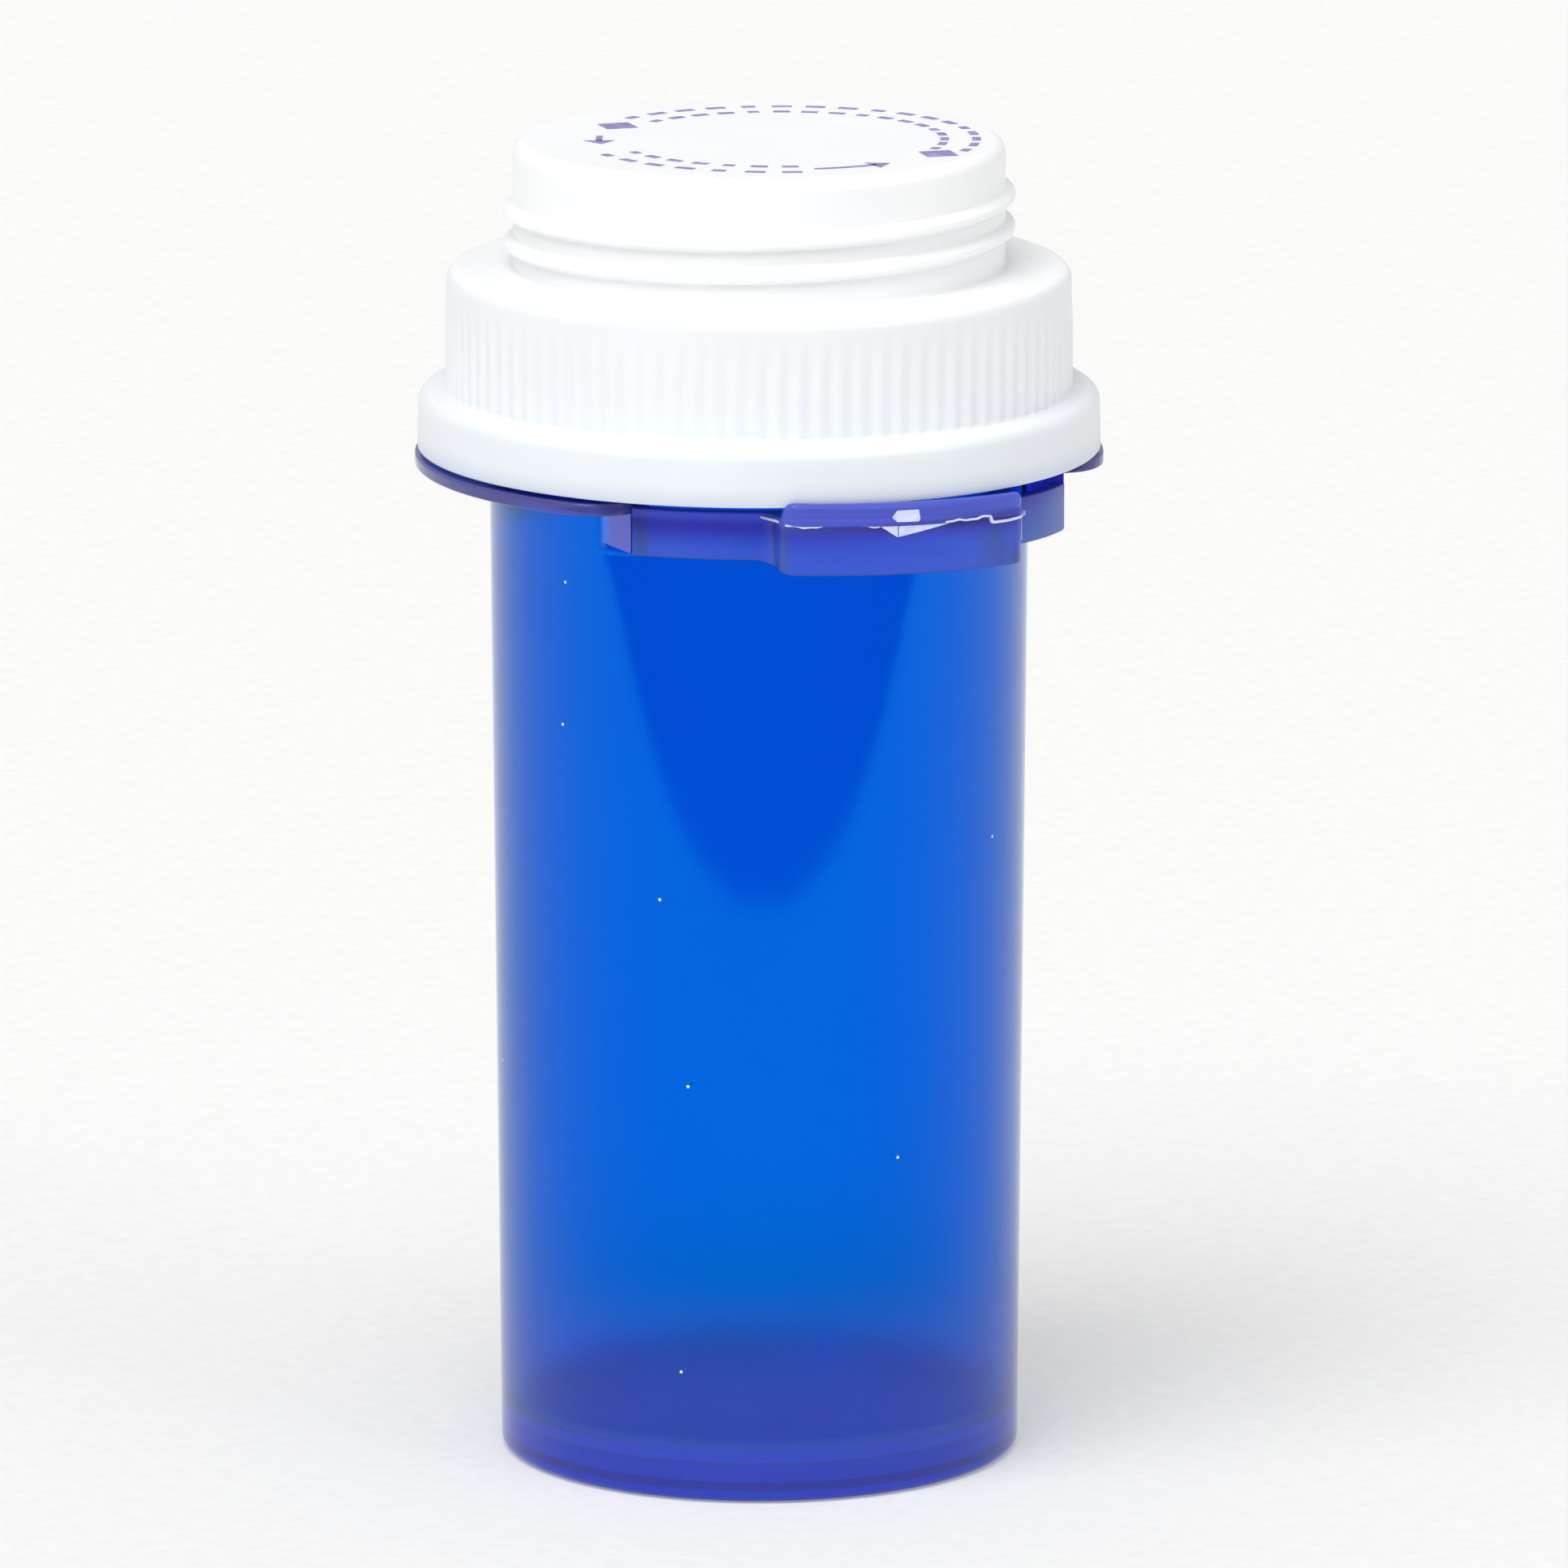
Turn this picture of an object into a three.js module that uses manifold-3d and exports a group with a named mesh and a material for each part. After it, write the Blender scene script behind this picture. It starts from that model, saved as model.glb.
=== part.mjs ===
// A pharmacy vial with a reversible, child-resistant screw cap.
// The vial and its spring latch are one blue moulding, the cap is a white moulding with a liner disc in it.
// Millimetres, +Z up; the origin is the centre of the face the vial stands on, and the press tab faces -Y.
import * as THREE from "three";
import { mergeVertices } from "three/addons/utils/BufferGeometryUtils.js";
import Module from "manifold-3d";

const wasm = await Module();
wasm.setup();

// ---- Driving dimensions ----

const GAP = 0.3; // between two pieces that would touch
const SUNK = 0.3; // how far a ridge starts inside the wall that carries it
const SEAM = 0.2; // how far two solids of one moulding run into each other
const TURN_SEGMENTS = 72;
const FLANGE_SEGMENTS = 48;
const ARM_SEGMENTS = 10;
const WALL_SEGMENTS = 4;
const RIDGE_STEP = 6; // degrees of turn in one facet of a thread ridge
const RUN_OUT = 3 * RIDGE_STEP; // degrees over which a ridge fades out
const RIDGE_END = 0.35; // share of its section left at its very end

const VIAL = {
  baseRadius: 16.84,
  shoulderRadius: 17.35,
  wall: 1.3,
  floorTop: 2.2,
  baseCorner: 1,
  insideCorner: 1.5,
  footInner: 13,
  footRecess: 0.6,
};

const TUBE_MIDDLE = VIAL.shoulderRadius - VIAL.wall / 2;

const NECK = {
  bottom: 66,
  insideBottom: 65,
  top: 75.2,
  inner: 16.65,
  outer: 17.95,
  lip: 0.35,
};

const FLANGE = {
  bottom: 65,
  top: 65.8,
  radius: 22.2,
  endAzimuth: 50.3, // where the flange stops, either side of the press tab
  cornerAzimuth: 61.3, // where its rounded corner starts
  cornerPull: 2, // degrees from the flange's end to the control point of that corner
  endRadius: 19.8,
};

const CAP = {
  top: 86,
  bossRadius: 15.82,
  bossInner: 14.5,
  bossEdge: 0.8,
  deck: 77.8,
  skin: 1.2,
  skirtRadius: 20.1,
  skirtInner: 19.1,
  shoulder: 1,
  rimTop: 69.9,
  rimBottom: FLANGE.top + GAP,
  rimRadius: 22,
  rimTopRadius: 21.65,
  rimEdge: 0.9,
  pocketInner: 20.9,
  pocketTop: 69,
};

const RIBS = { count: 94, tip: 20.2, valley: 19.95, top: 76.2 };

const RATCHET = {
  count: 30,
  tip: 20,
  bottom: 66.9,
  flatShare: 0.58, // share of one pitch that is the flat between two teeth
  faceShare: 0.08, // share taken by a tooth's steep face
  crestShare: 0.12, // share taken by its crest
  crestSlope: 0.1,
};

const LATCH = {
  armInner: 18.8,
  armOuter: 19.8,
  armBottom: 62.3,
  top: 65.4,
  tabHalfAngle: 23,
  tabEndAngle: 2.2, // degrees of turn in the tab's end walls
  footAngle: 2.1, // degrees of turn in the stub that meets an arm
  footOverlap: 0.6, // degrees of that stub inside the end wall
  armGapAngle: 0.9, // degrees between a stub and its arm, and between an arm and its root
  tabRadius: 22.6,
  beadRadius: 22.9,
  beadBottom: 64.7,
  beadStep: 64.8, // where the step out of the tab's wall reaches the bead's full radius
  beadMiddle: 65.4, // where the bead starts to round over
  beadEdge: 65.85,
  beadEdgePull: 0.12,
  beadTop: 66.15,
  beadTopPull: 0.35,
  beadInner: CAP.rimRadius + GAP, // the bead's lip stands just outside the cap's rim
  tabBottom: 61.5,
  tabWall: 1.1,
  tabPlate: 0.9,
  plateInner: 19,
  rootAzimuth: 61.4,
};

const PAWL = { inner: 19.3, outer: 20.3, halfWidth: 0.9, top: 67.6, lead: 0.5, flat: 0.4 };

const LINER = { radius: 18.7, thickness: 0.8, chamfer: 0.15 };

// The narrow end of the cap screws into the neck when the cap is turned over.
const PLUG_THREAD = { pitch: 2.1, base: 1.2, crest: 0.45 };
const BOSS_RIDGE = { crest: 16.45, bottom: 79.03, turns: 1.8, fromAzimuth: -167.6 };
const NECK_RIDGE = { crest: 16.05, bottom: 69.4, turns: 1.5, fromAzimuth: 20 };

// Four quick ridges on the neck catch four in the cap's skirt.
const QUICK = { starts: 4, lead: 12, base: 1.1, crest: 0.7, sweep: 72, fromAzimuth: 9 };
const QUICK_PITCH = QUICK.lead / QUICK.starts;
const NECK_QUICK = { crest: 18.75, bottom: 70.6 };
const SKIRT_QUICK = { crest: 18.2, bottom: NECK_QUICK.bottom - QUICK_PITCH / 2 };

const BLUE = { color: 0x0a4fc4, roughness: 0.18, metalness: 0 };
const WHITE = { color: 0xf4f6f8, roughness: 0.42, metalness: 0 };
const FOAM = { color: 0xe9ebec, roughness: 0.9, metalness: 0 };

// ---- Geometry helpers ----

const radians = THREE.MathUtils.degToRad;

// Azimuth is measured from -Y, the press tab's side, towards +X.
function polar(radius, azimuth) {
  const turn = radians(azimuth - 90);
  return new THREE.Vector2(radius * Math.cos(turn), radius * Math.sin(turn));
}

function solidOf(geometry) {
  const bare = geometry.clone();
  bare.deleteAttribute("normal");
  bare.deleteAttribute("uv");
  const merged = mergeVertices(bare, 1e-4);
  const vertProperties = merged.getAttribute("position").array;
  const triVerts = new Uint32Array(merged.index.array);
  return new wasm.Manifold(new wasm.Mesh({ numProp: 3, vertProperties, triVerts }));
}

function geometryOf(solid) {
  const mesh = solid.getMesh();
  const geometry = new THREE.BufferGeometry();
  geometry.setAttribute("position", new THREE.BufferAttribute(mesh.vertProperties, 3));
  geometry.setIndex(new THREE.BufferAttribute(mesh.triVerts, 1));
  const flat = geometry.toNonIndexed();
  flat.computeVertexNormals();
  return flat;
}

function joined(solids) {
  return solids.reduce((whole, solid) => whole.add(solid));
}

// The corner points of a quarter round of a given radius, turning from one compass angle to another.
function fillet(centreRadius, centreHeight, radius, fromDeg, toDeg, steps = 4) {
  return Array.from({ length: steps + 1 }, (_, i) => {
    const angle = radians(THREE.MathUtils.lerp(fromDeg, toDeg, i / steps));
    return [centreRadius + radius * Math.cos(angle), centreHeight + radius * Math.sin(angle)];
  });
}

// A closed profile of [radius, height] points, listed anticlockwise, turned about the Z axis.
function turned(profile) {
  const points = profile.map(([radius, height]) => new THREE.Vector2(radius, height));
  if (points[0].x > 0 || points.at(-1).x > 0) points.push(points[0].clone());
  return solidOf(new THREE.LatheGeometry(points, TURN_SEGMENTS).rotateX(Math.PI / 2));
}

function extruded(shape, bottom, top, curveSegments = 24) {
  const options = { depth: top - bottom, bevelEnabled: false, curveSegments };
  return solidOf(new THREE.ExtrudeGeometry(shape, options).translate(0, 0, bottom));
}

function band(inner, outer, fromAzimuth, toAzimuth) {
  const from = radians(fromAzimuth - 90);
  const to = radians(toAzimuth - 90);
  const shape = new THREE.Shape();
  shape.absarc(0, 0, outer, from, to, false);
  shape.absarc(0, 0, inner, to, from, true);
  shape.closePath();
  return shape;
}

// A ridge that climbs anticlockwise round the Z axis and fades out at both ends.
// It starts as a straight bar, whose length becomes the angle.
function ridge({ root, crest, base, crestHeight, lead, bottom, fromAzimuth, sweep }) {
  const section = new THREE.Shape([
    new THREE.Vector2(root, -base / 2),
    new THREE.Vector2(crest, -crestHeight / 2),
    new THREE.Vector2(crest, crestHeight / 2),
    new THREE.Vector2(root, base / 2),
  ]);
  const steps = Math.ceil(sweep / RIDGE_STEP);
  const bar = new THREE.ExtrudeGeometry(section, { depth: sweep, steps, bevelEnabled: false });
  const position = bar.getAttribute("position");
  for (let i = 0; i < position.count; i++) {
    const along = sweep - position.getZ(i);
    const fromEnd = Math.min(along, sweep - along);
    const full = Math.min(1, RIDGE_END + (1 - RIDGE_END) * (fromEnd / RUN_OUT));
    const radius = root + (position.getX(i) - root) * full;
    const place = polar(radius, fromAzimuth + along);
    const height = bottom + (lead * along) / 360 + position.getY(i) * full;
    position.setXYZ(i, place.x, place.y, height);
  }
  return solidOf(bar);
}

function quickRidges({ crest, bottom }, root) {
  return Array.from({ length: QUICK.starts }, (_, i) =>
    ridge({
      root,
      crest,
      base: QUICK.base,
      crestHeight: QUICK.crest,
      lead: QUICK.lead,
      bottom,
      fromAzimuth: (360 / QUICK.starts) * i + QUICK.fromAzimuth,
      sweep: QUICK.sweep,
    }),
  );
}

function plugRidge({ crest, bottom, turns, fromAzimuth }, root) {
  return ridge({
    root,
    crest,
    base: PLUG_THREAD.base,
    crestHeight: PLUG_THREAD.crest,
    lead: PLUG_THREAD.pitch,
    bottom,
    fromAzimuth,
    sweep: 360 * turns,
  });
}

// ---- The vial ----

function vialTube() {
  const { baseRadius, shoulderRadius, wall, floorTop, baseCorner, insideCorner } = VIAL;
  const floorRadius = baseRadius - wall;
  const outside = [
    [0, VIAL.footRecess],
    [VIAL.footInner - VIAL.footRecess, VIAL.footRecess],
    [VIAL.footInner, 0],
    ...fillet(baseRadius - baseCorner, baseCorner, baseCorner, -90, 0),
    [shoulderRadius, LATCH.armBottom],
    [shoulderRadius, NECK.bottom - NECK.lip],
    [NECK.outer, NECK.bottom],
    [NECK.outer, NECK.top - NECK.lip],
    [NECK.outer - NECK.lip, NECK.top],
  ];
  const inside = [
    [NECK.inner + NECK.lip, NECK.top],
    [NECK.inner, NECK.top - NECK.lip],
    [NECK.inner, NECK.bottom],
    [shoulderRadius - wall, NECK.insideBottom],
    ...fillet(floorRadius - insideCorner, floorTop + insideCorner, insideCorner, 0, -90),
    [0, floorTop],
  ];
  return turned([...outside, ...inside]);
}

// The flange runs round the back and stops short of the latch with a rounded corner at each end.
function flange() {
  const { radius, endAzimuth, cornerAzimuth, cornerPull, endRadius } = FLANGE;
  const shape = new THREE.Shape();
  shape.absarc(0, 0, radius, radians(cornerAzimuth - 90), radians(270 - cornerAzimuth), false);
  const leftCorner = polar(radius, -endAzimuth - cornerPull);
  const leftEnd = polar(endRadius, -endAzimuth);
  shape.quadraticCurveTo(leftCorner.x, leftCorner.y, leftEnd.x, leftEnd.y);
  shape.absarc(0, 0, TUBE_MIDDLE, radians(-endAzimuth - 90), radians(endAzimuth - 450), true);
  const rightCorner = polar(radius, endAzimuth + cornerPull);
  const rightEnd = polar(endRadius, endAzimuth);
  const rightStart = polar(radius, cornerAzimuth);
  shape.lineTo(rightEnd.x, rightEnd.y);
  shape.quadraticCurveTo(rightCorner.x, rightCorner.y, rightStart.x, rightStart.y);
  return extruded(shape, FLANGE.bottom, FLANGE.top, FLANGE_SEGMENTS);
}

// A block at each end of the flange carries the root of a spring arm: one flat face slants out of the tube.
function armRoot(side) {
  const rootAzimuth = side * LATCH.rootAzimuth;
  const endAzimuth = side * FLANGE.endAzimuth;
  const points = [
    polar(TUBE_MIDDLE, rootAzimuth),
    polar(TUBE_MIDDLE, endAzimuth),
    polar(LATCH.armOuter, endAzimuth),
    polar(VIAL.shoulderRadius, rootAzimuth),
  ];
  return extruded(new THREE.Shape(points), LATCH.armBottom, FLANGE.bottom + SEAM);
}

function vialBody() {
  return joined([
    vialTube(),
    flange(),
    armRoot(-1),
    armRoot(1),
    plugRidge(NECK_RIDGE, NECK.inner + SUNK),
    ...quickRidges(NECK_QUICK, NECK.outer - SUNK),
  ]);
}

// ---- The spring latch ----

// A curved bar between two azimuths on one side of the press tab.
function sideBar(side, inner, outer, nearAzimuth, farAzimuth, steps) {
  const from = side * nearAzimuth;
  const to = side * farAzimuth;
  const outline = band(inner, outer, Math.min(from, to), Math.max(from, to));
  return extruded(outline, LATCH.armBottom, LATCH.top, steps);
}

function springArm(side) {
  const near = LATCH.tabHalfAngle + LATCH.footAngle + LATCH.armGapAngle;
  const far = FLANGE.endAzimuth - LATCH.armGapAngle;
  return sideBar(side, LATCH.armInner, LATCH.armOuter, near, far, ARM_SEGMENTS);
}

// The tab is a channel open below: a curved front wall, a plate above it and a wall at each end.
// Its front wall goes up past the plate into a rounded bead.
function pressTab() {
  const { armInner, armOuter, plateInner, top, tabBottom, tabRadius, tabWall } = LATCH;
  const { beadRadius, beadInner, beadTop } = LATCH;
  const underPlate = top - LATCH.tabPlate;
  const channel = turned([
    [tabRadius - tabWall, tabBottom],
    [tabRadius, tabBottom],
    [tabRadius, LATCH.beadBottom],
    [beadRadius, LATCH.beadStep],
    [beadRadius, LATCH.beadMiddle],
    [beadRadius - LATCH.beadEdgePull, LATCH.beadEdge],
    [beadRadius - LATCH.beadTopPull, beadTop],
    [beadInner, beadTop],
    [beadInner, top],
    [plateInner, top],
    [plateInner, underPlate],
    [tabRadius - tabWall, underPlate],
  ]);
  const clear = 1;
  const half = LATCH.tabHalfAngle;
  const cut = band(plateInner - clear, beadRadius + clear, -half, half);
  const front = channel.intersect(extruded(cut, tabBottom - clear, beadTop + clear));
  const wallStart = half - LATCH.tabEndAngle;
  const footStart = half - LATCH.footOverlap;
  const ends = [-1, 1].flatMap((side) => [
    sideBar(side, armInner, tabRadius, wallStart, half, WALL_SEGMENTS),
    sideBar(side, armInner, armOuter, footStart, half + LATCH.footAngle, WALL_SEGMENTS),
  ]);
  return joined([front, ...ends]);
}

function latchPawl() {
  const points = [
    new THREE.Vector2(-PAWL.halfWidth, -PAWL.inner),
    new THREE.Vector2(-PAWL.halfWidth, -PAWL.outer + PAWL.lead),
    new THREE.Vector2(PAWL.halfWidth - PAWL.flat, -PAWL.outer),
    new THREE.Vector2(PAWL.halfWidth, -PAWL.outer),
    new THREE.Vector2(PAWL.halfWidth, -PAWL.inner),
  ];
  return extruded(new THREE.Shape(points), LATCH.top + GAP, PAWL.top);
}

// ---- The cap ----

function capShell() {
  const { top, bossRadius, bossEdge, deck, skin, skirtRadius, shoulder } = CAP;
  const outside = [
    [CAP.pocketInner, CAP.rimBottom],
    [CAP.rimRadius, CAP.rimBottom],
    ...fillet(CAP.rimTopRadius - CAP.rimEdge, CAP.rimTop - CAP.rimEdge, CAP.rimEdge, 0, 90),
    [RIBS.valley - SUNK, CAP.rimTop],
    [RIBS.valley - SUNK, RIBS.top],
    [skirtRadius, RIBS.top],
    ...fillet(skirtRadius - shoulder, deck - shoulder, shoulder, 0, 90),
    [bossRadius, deck],
    ...fillet(bossRadius - bossEdge, top - bossEdge, bossEdge, 0, 90),
    [0, top],
  ];
  const inside = [
    [0, top - skin],
    [CAP.bossInner, top - skin],
    [CAP.bossInner, deck - skin],
    [CAP.skirtInner, deck - skin],
    [CAP.skirtInner, CAP.pocketTop],
    [CAP.pocketInner, CAP.pocketTop],
  ];
  return turned([...inside, ...outside]);
}

// The grip: a ring whose outer edge zigzags between rib tips and valleys.
function gripRing() {
  const points = Array.from({ length: 2 * RIBS.count }, (_, i) =>
    polar(i % 2 ? RIBS.valley : RIBS.tip, (180 / RIBS.count) * i),
  );
  const shape = new THREE.Shape(points);
  const hole = new THREE.Path();
  hole.absarc(0, 0, CAP.skirtInner + SUNK, 0, 2 * Math.PI, true);
  shape.holes.push(hole);
  return extruded(shape, CAP.rimTop - SEAM, RIBS.top + SEAM, TURN_SEGMENTS / 2);
}

// Saw teeth inside the rim, which the pawl stands between.
function ratchetRing() {
  const { count, tip, flatShare, faceShare, crestShare, crestSlope } = RATCHET;
  const pitch = 360 / count;
  const points = [];
  for (let i = 0; i < count; i++) {
    const flatStart = pitch * (i - flatShare / 2);
    const flatEnd = flatStart + pitch * flatShare;
    const crestStart = flatEnd + pitch * faceShare;
    points.push(polar(CAP.pocketInner, flatStart));
    points.push(polar(CAP.pocketInner, flatEnd));
    points.push(polar(tip, crestStart));
    points.push(polar(tip + crestSlope, crestStart + pitch * crestShare));
  }
  const shape = new THREE.Shape();
  shape.absarc(0, 0, CAP.pocketInner + SUNK, 0, 2 * Math.PI, false);
  shape.holes.push(new THREE.Path(points));
  return extruded(shape, RATCHET.bottom, CAP.pocketTop + SUNK, TURN_SEGMENTS / 2);
}

function reversibleCap() {
  return joined([
    capShell(),
    gripRing(),
    ratchetRing(),
    plugRidge(BOSS_RIDGE, CAP.bossRadius - SUNK),
    ...quickRidges(SKIRT_QUICK, CAP.skirtInner + SUNK),
  ]);
}

function sealLiner() {
  const { radius, chamfer } = LINER;
  const bottom = NECK.top + GAP;
  const top = bottom + LINER.thickness;
  return turned([
    [0, bottom],
    [radius - chamfer, bottom],
    [radius, bottom + chamfer],
    [radius, top - chamfer],
    [radius - chamfer, top],
    [0, top],
  ]);
}

// ---- The assembly ----

function piece(name, solid, look) {
  const mesh = new THREE.Mesh(geometryOf(solid), new THREE.MeshStandardMaterial(look));
  mesh.name = name;
  return mesh;
}

const vial = new THREE.Group();
vial.add(piece("vial_body", vialBody(), BLUE));

const latch = new THREE.Group();
latch.add(piece("spring_arm_left", springArm(-1), BLUE));
latch.add(piece("spring_arm_right", springArm(1), BLUE));
latch.add(piece("press_tab", pressTab(), BLUE));
latch.add(piece("latch_pawl", latchPawl(), BLUE));

const closure = new THREE.Group();
closure.add(piece("reversible_cap", reversibleCap(), WHITE));
closure.add(piece("seal_liner", sealLiner(), FOAM));

const prescriptionVial = new THREE.Group();
prescriptionVial.add(vial, latch, closure);

export default prescriptionVial;
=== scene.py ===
"""The looks of the pharmacy vial: smooth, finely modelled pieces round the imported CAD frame.

Shapes are worked out in millimetres in the part's own frame and written to meshes in metres.
Azimuth is measured in degrees from -Y, the press tab's side, towards +X.
"""

import math

import bmesh
import bpy
import numpy as np
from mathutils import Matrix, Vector


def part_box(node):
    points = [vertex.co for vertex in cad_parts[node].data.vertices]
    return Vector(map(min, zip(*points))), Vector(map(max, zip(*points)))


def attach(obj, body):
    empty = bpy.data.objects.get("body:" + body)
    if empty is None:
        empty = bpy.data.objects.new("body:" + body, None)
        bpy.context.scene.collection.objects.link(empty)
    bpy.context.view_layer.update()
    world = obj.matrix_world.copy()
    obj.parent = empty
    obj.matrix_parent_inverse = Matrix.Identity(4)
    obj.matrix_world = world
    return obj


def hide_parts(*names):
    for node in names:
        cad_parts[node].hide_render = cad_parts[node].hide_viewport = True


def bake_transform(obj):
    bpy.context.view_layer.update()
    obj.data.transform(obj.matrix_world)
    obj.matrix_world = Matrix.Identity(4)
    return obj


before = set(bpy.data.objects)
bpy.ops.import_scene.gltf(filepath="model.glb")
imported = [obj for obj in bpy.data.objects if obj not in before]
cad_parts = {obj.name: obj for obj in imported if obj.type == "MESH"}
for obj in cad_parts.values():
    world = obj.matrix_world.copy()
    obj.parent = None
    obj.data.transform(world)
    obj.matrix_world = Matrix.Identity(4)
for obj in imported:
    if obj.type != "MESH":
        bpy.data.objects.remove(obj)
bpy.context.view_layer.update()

MM = 0.001  # metres


def box_mm(node):
    """A CAD node's lowest and highest corners in millimetres."""
    low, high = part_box(node)
    return np.array(low) / MM, np.array(high) / MM


VIAL_LOW, VIAL_HIGH = box_mm("vial_body")
CAP_LOW, CAP_HIGH = box_mm("reversible_cap")
TAB_LOW, TAB_HIGH = box_mm("press_tab")
ARM_LOW, ARM_HIGH = box_mm("spring_arm_right")
PAWL_LOW, PAWL_HIGH = box_mm("latch_pawl")
LINER_LOW, LINER_HIGH = box_mm("seal_liner")

# ---- Sizes, in millimetres and degrees ----

COLUMNS = 720  # points round the vial and the cap
LINER_COLUMNS = 240
TINY = 0.001  # slack where two sizes are compared
NEAR = 0.01  # slack where a radius is picked out of a profile

FOOT_Z = VIAL_LOW[2]
NECK_TOP = VIAL_HIGH[2]
FLANGE_RADIUS = VIAL_HIGH[0]
BASE_RADIUS = 16.84
SHOULDER_RADIUS = 17.35
WALL = 1.3
FLOOR_TOP = 2.2
FOOT_INNER = 13.0
FOOT_RECESS = 0.6
NECK_BOTTOM = 66.0
NECK_INNER = 16.65
NECK_OUTER = 17.95
FLANGE_BOTTOM = 65.0
FLANGE_TOP = 65.8
FLANGE_END = 50.3  # azimuth where the flange stops
FLANGE_CORNER = 61.3  # azimuth where its rounded corner starts
FLANGE_PULL = 2.0  # degrees from the flange's end to the control point of that corner
FLANGE_END_RADIUS = 19.8
ROOT_START = 61.4  # azimuth where an arm's root leaves the tube
BASE_CORNER = 0.55
FLANGE_EDGE = 0.15  # rounding of the flange's edge and of the foot's inner edge
FLANGE_STEPS = 10  # points across the flange
LIP_EDGE = 0.4
FLOOR_FILLET = 1.5
FLOOR_DIP = 0.12  # the floor's faint concentric steps, which the mould leaves
FLOOR_RISE = 0.1
ROOT_EDGE = 0.12  # height over which an arm's root swells out of the tube

CAP_TOP = CAP_HIGH[2]
RIM_BOTTOM = CAP_LOW[2]
RIM_RADIUS = CAP_HIGH[0]
RIM_TOP = 69.9
RIM_TOP_RADIUS = 21.95
RIM_EDGE = 0.9
BOSS_RADIUS = 15.82
BOSS_INNER = 14.5
BOSS_EDGE = 0.8
BOSS_INNER_EDGE = 0.5
BOSS_FILLET = 0.3
SKIRT_FILLET = 0.28
RIM_LOW_EDGE = 0.1
DECK = 77.8
SKIN = 1.2
SKIRT_RADIUS = 20.1
SKIRT_INNER = 19.1
POCKET_INNER = 20.9
POCKET_TOP = 69.0
SHOULDER = 0.8  # rounding between the skirt and the deck
RIB_COUNT = 94
RIB_DEPTH = 0.17
RIB_TOP = 76.9
RIB_FADE = 3.3  # height over which the ribs run out towards the deck
PRINT_HEIGHT = 0.03  # the ink stands this far proud
PRINT_MIDDLE = 11.6
PRINT_DASHES = ((10.3, 10.85), (12.35, 12.9))  # inner and outer radius of each dash of a pair
PRINT_RUNS = ((-157.2, -316.2, 17), (-86.7, -22.7, 7))  # azimuth of the first and last pair, and how many
LONG_DASH = 2.9  # half of a dash's width in degrees
SHORT_DASH = 2.0  # and of every fourth pair's
PRINT_DIAMONDS = (-141.9, 34.5)
DIAMOND_SIZE = 1.45
PRINT_ARROWS = ((-121.7, -106.6), (-15.3, 10.7))  # azimuth of each arrow's tail and point
SHAFT_HALF = 0.2
BARB_HALF = 1.0
BARB_LENGTH = 6.5  # degrees from an arrow's point back to its barbs
SHAFT_END = 5.0  # and to the end of its shaft
PRINT_OFF_CENTRE = (1.15, -0.68)  # the print isn't quite central on the cap

ARM_BOTTOM = ARM_LOW[2]
LATCH_TOP = ARM_HIGH[2]
DROOP = 1.1  # how much lower the latch hangs at its right root than at its left arm
DROOP_FROM = -21.0  # azimuth where it starts to hang
SPLAY = 0.34  # how much further out its right arm ends
TAB_BOTTOM = TAB_LOW[2] + 0.33
TAB_HALF = 23.0
TAB_RADIUS = 22.6
TAB_CORNER = 1.25
TAB_FILLET = 1.3  # where the tab's end meets an arm
TAB_LEAN = 0.12  # degrees that the tab's end leans
BEAD_RADIUS = -TAB_LOW[1] - 0.18
BEAD_TOP = TAB_HIGH[2] + 0.32
BEAD_WALL = 0.55
BEAD_END = 22.4  # azimuth where the bead stops
BEAD_CORNER = 0.8
BEAD_FADE = 1.5  # degrees over which its ends stand out of the tab
BEAD_EDGE = 0.38  # rounding along its top
BEAD_GROOVE = 0.09  # how far its face is dished
ARM_EDGE = 0.12
CHANNEL_INSIDE = 1.2  # degrees inside the tab's end where its channel starts
CHANNEL_FADE = 0.5
DROP_OUTSIDE = 4.0  # degrees outside the tab's end where the latch gets deeper
DROP_FADE = 6.5
ARM_INNER = 18.8
ARM_OUTER = 19.8
TAB_WALL = 1.1
PLATE = 0.9
PLATE_INNER = 19.0
FLASH_Z = 65.0  # height of the mould's parting line on the tab, before it droops
SEAM = 0.02  # between two visible pieces that are one moulding
PAWL_SLANT = 0.5  # how far the pawl's leading corner is cut back
PAWL_TIP = 0.4
PAWL_BEVEL = 0.12

RATCHET_COUNT = 30
RATCHET_TIP = 20.0
RATCHET_BOTTOM = 66.9
RATCHET_FLAT = 0.58  # share of a tooth's pitch where its steep face starts
RATCHET_STEEP = 0.06
RATCHET_CREST = 0.68  # and where its slope starts
RATCHET_SLOPE = 0.3
RATCHET_PHASE = 0.29

# A thread's ridge: where it starts, how it climbs, the widths of its crest and base, and how its ends fade.
PLUG_PITCH = 2.1
PLUG_THREAD = dict(bottom=69.4, lead=PLUG_PITCH, start=20.0, sweep=540.0, crest=0.45, base=1.2)
PLUG_DEPTH = 0.6
BOSS_THREAD = dict(bottom=79.03, lead=PLUG_PITCH, start=-167.6, sweep=648.0, crest=0.3, base=1.25, fade=30.0)
BOSS_DEPTH = 0.63
QUICK_STARTS = 4
QUICK_LEAD = 12.0
QUICK_FROM = 9.0
QUICK_BOTTOM = 70.6
QUICK_THREAD = dict(lead=QUICK_LEAD, sweep=72.0, crest=0.6, base=1.1, fade=14.0)
QUICK_NECK_DEPTH = 0.8
QUICK_SKIRT_DEPTH = 0.9

# ---- Outlines ----


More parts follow.
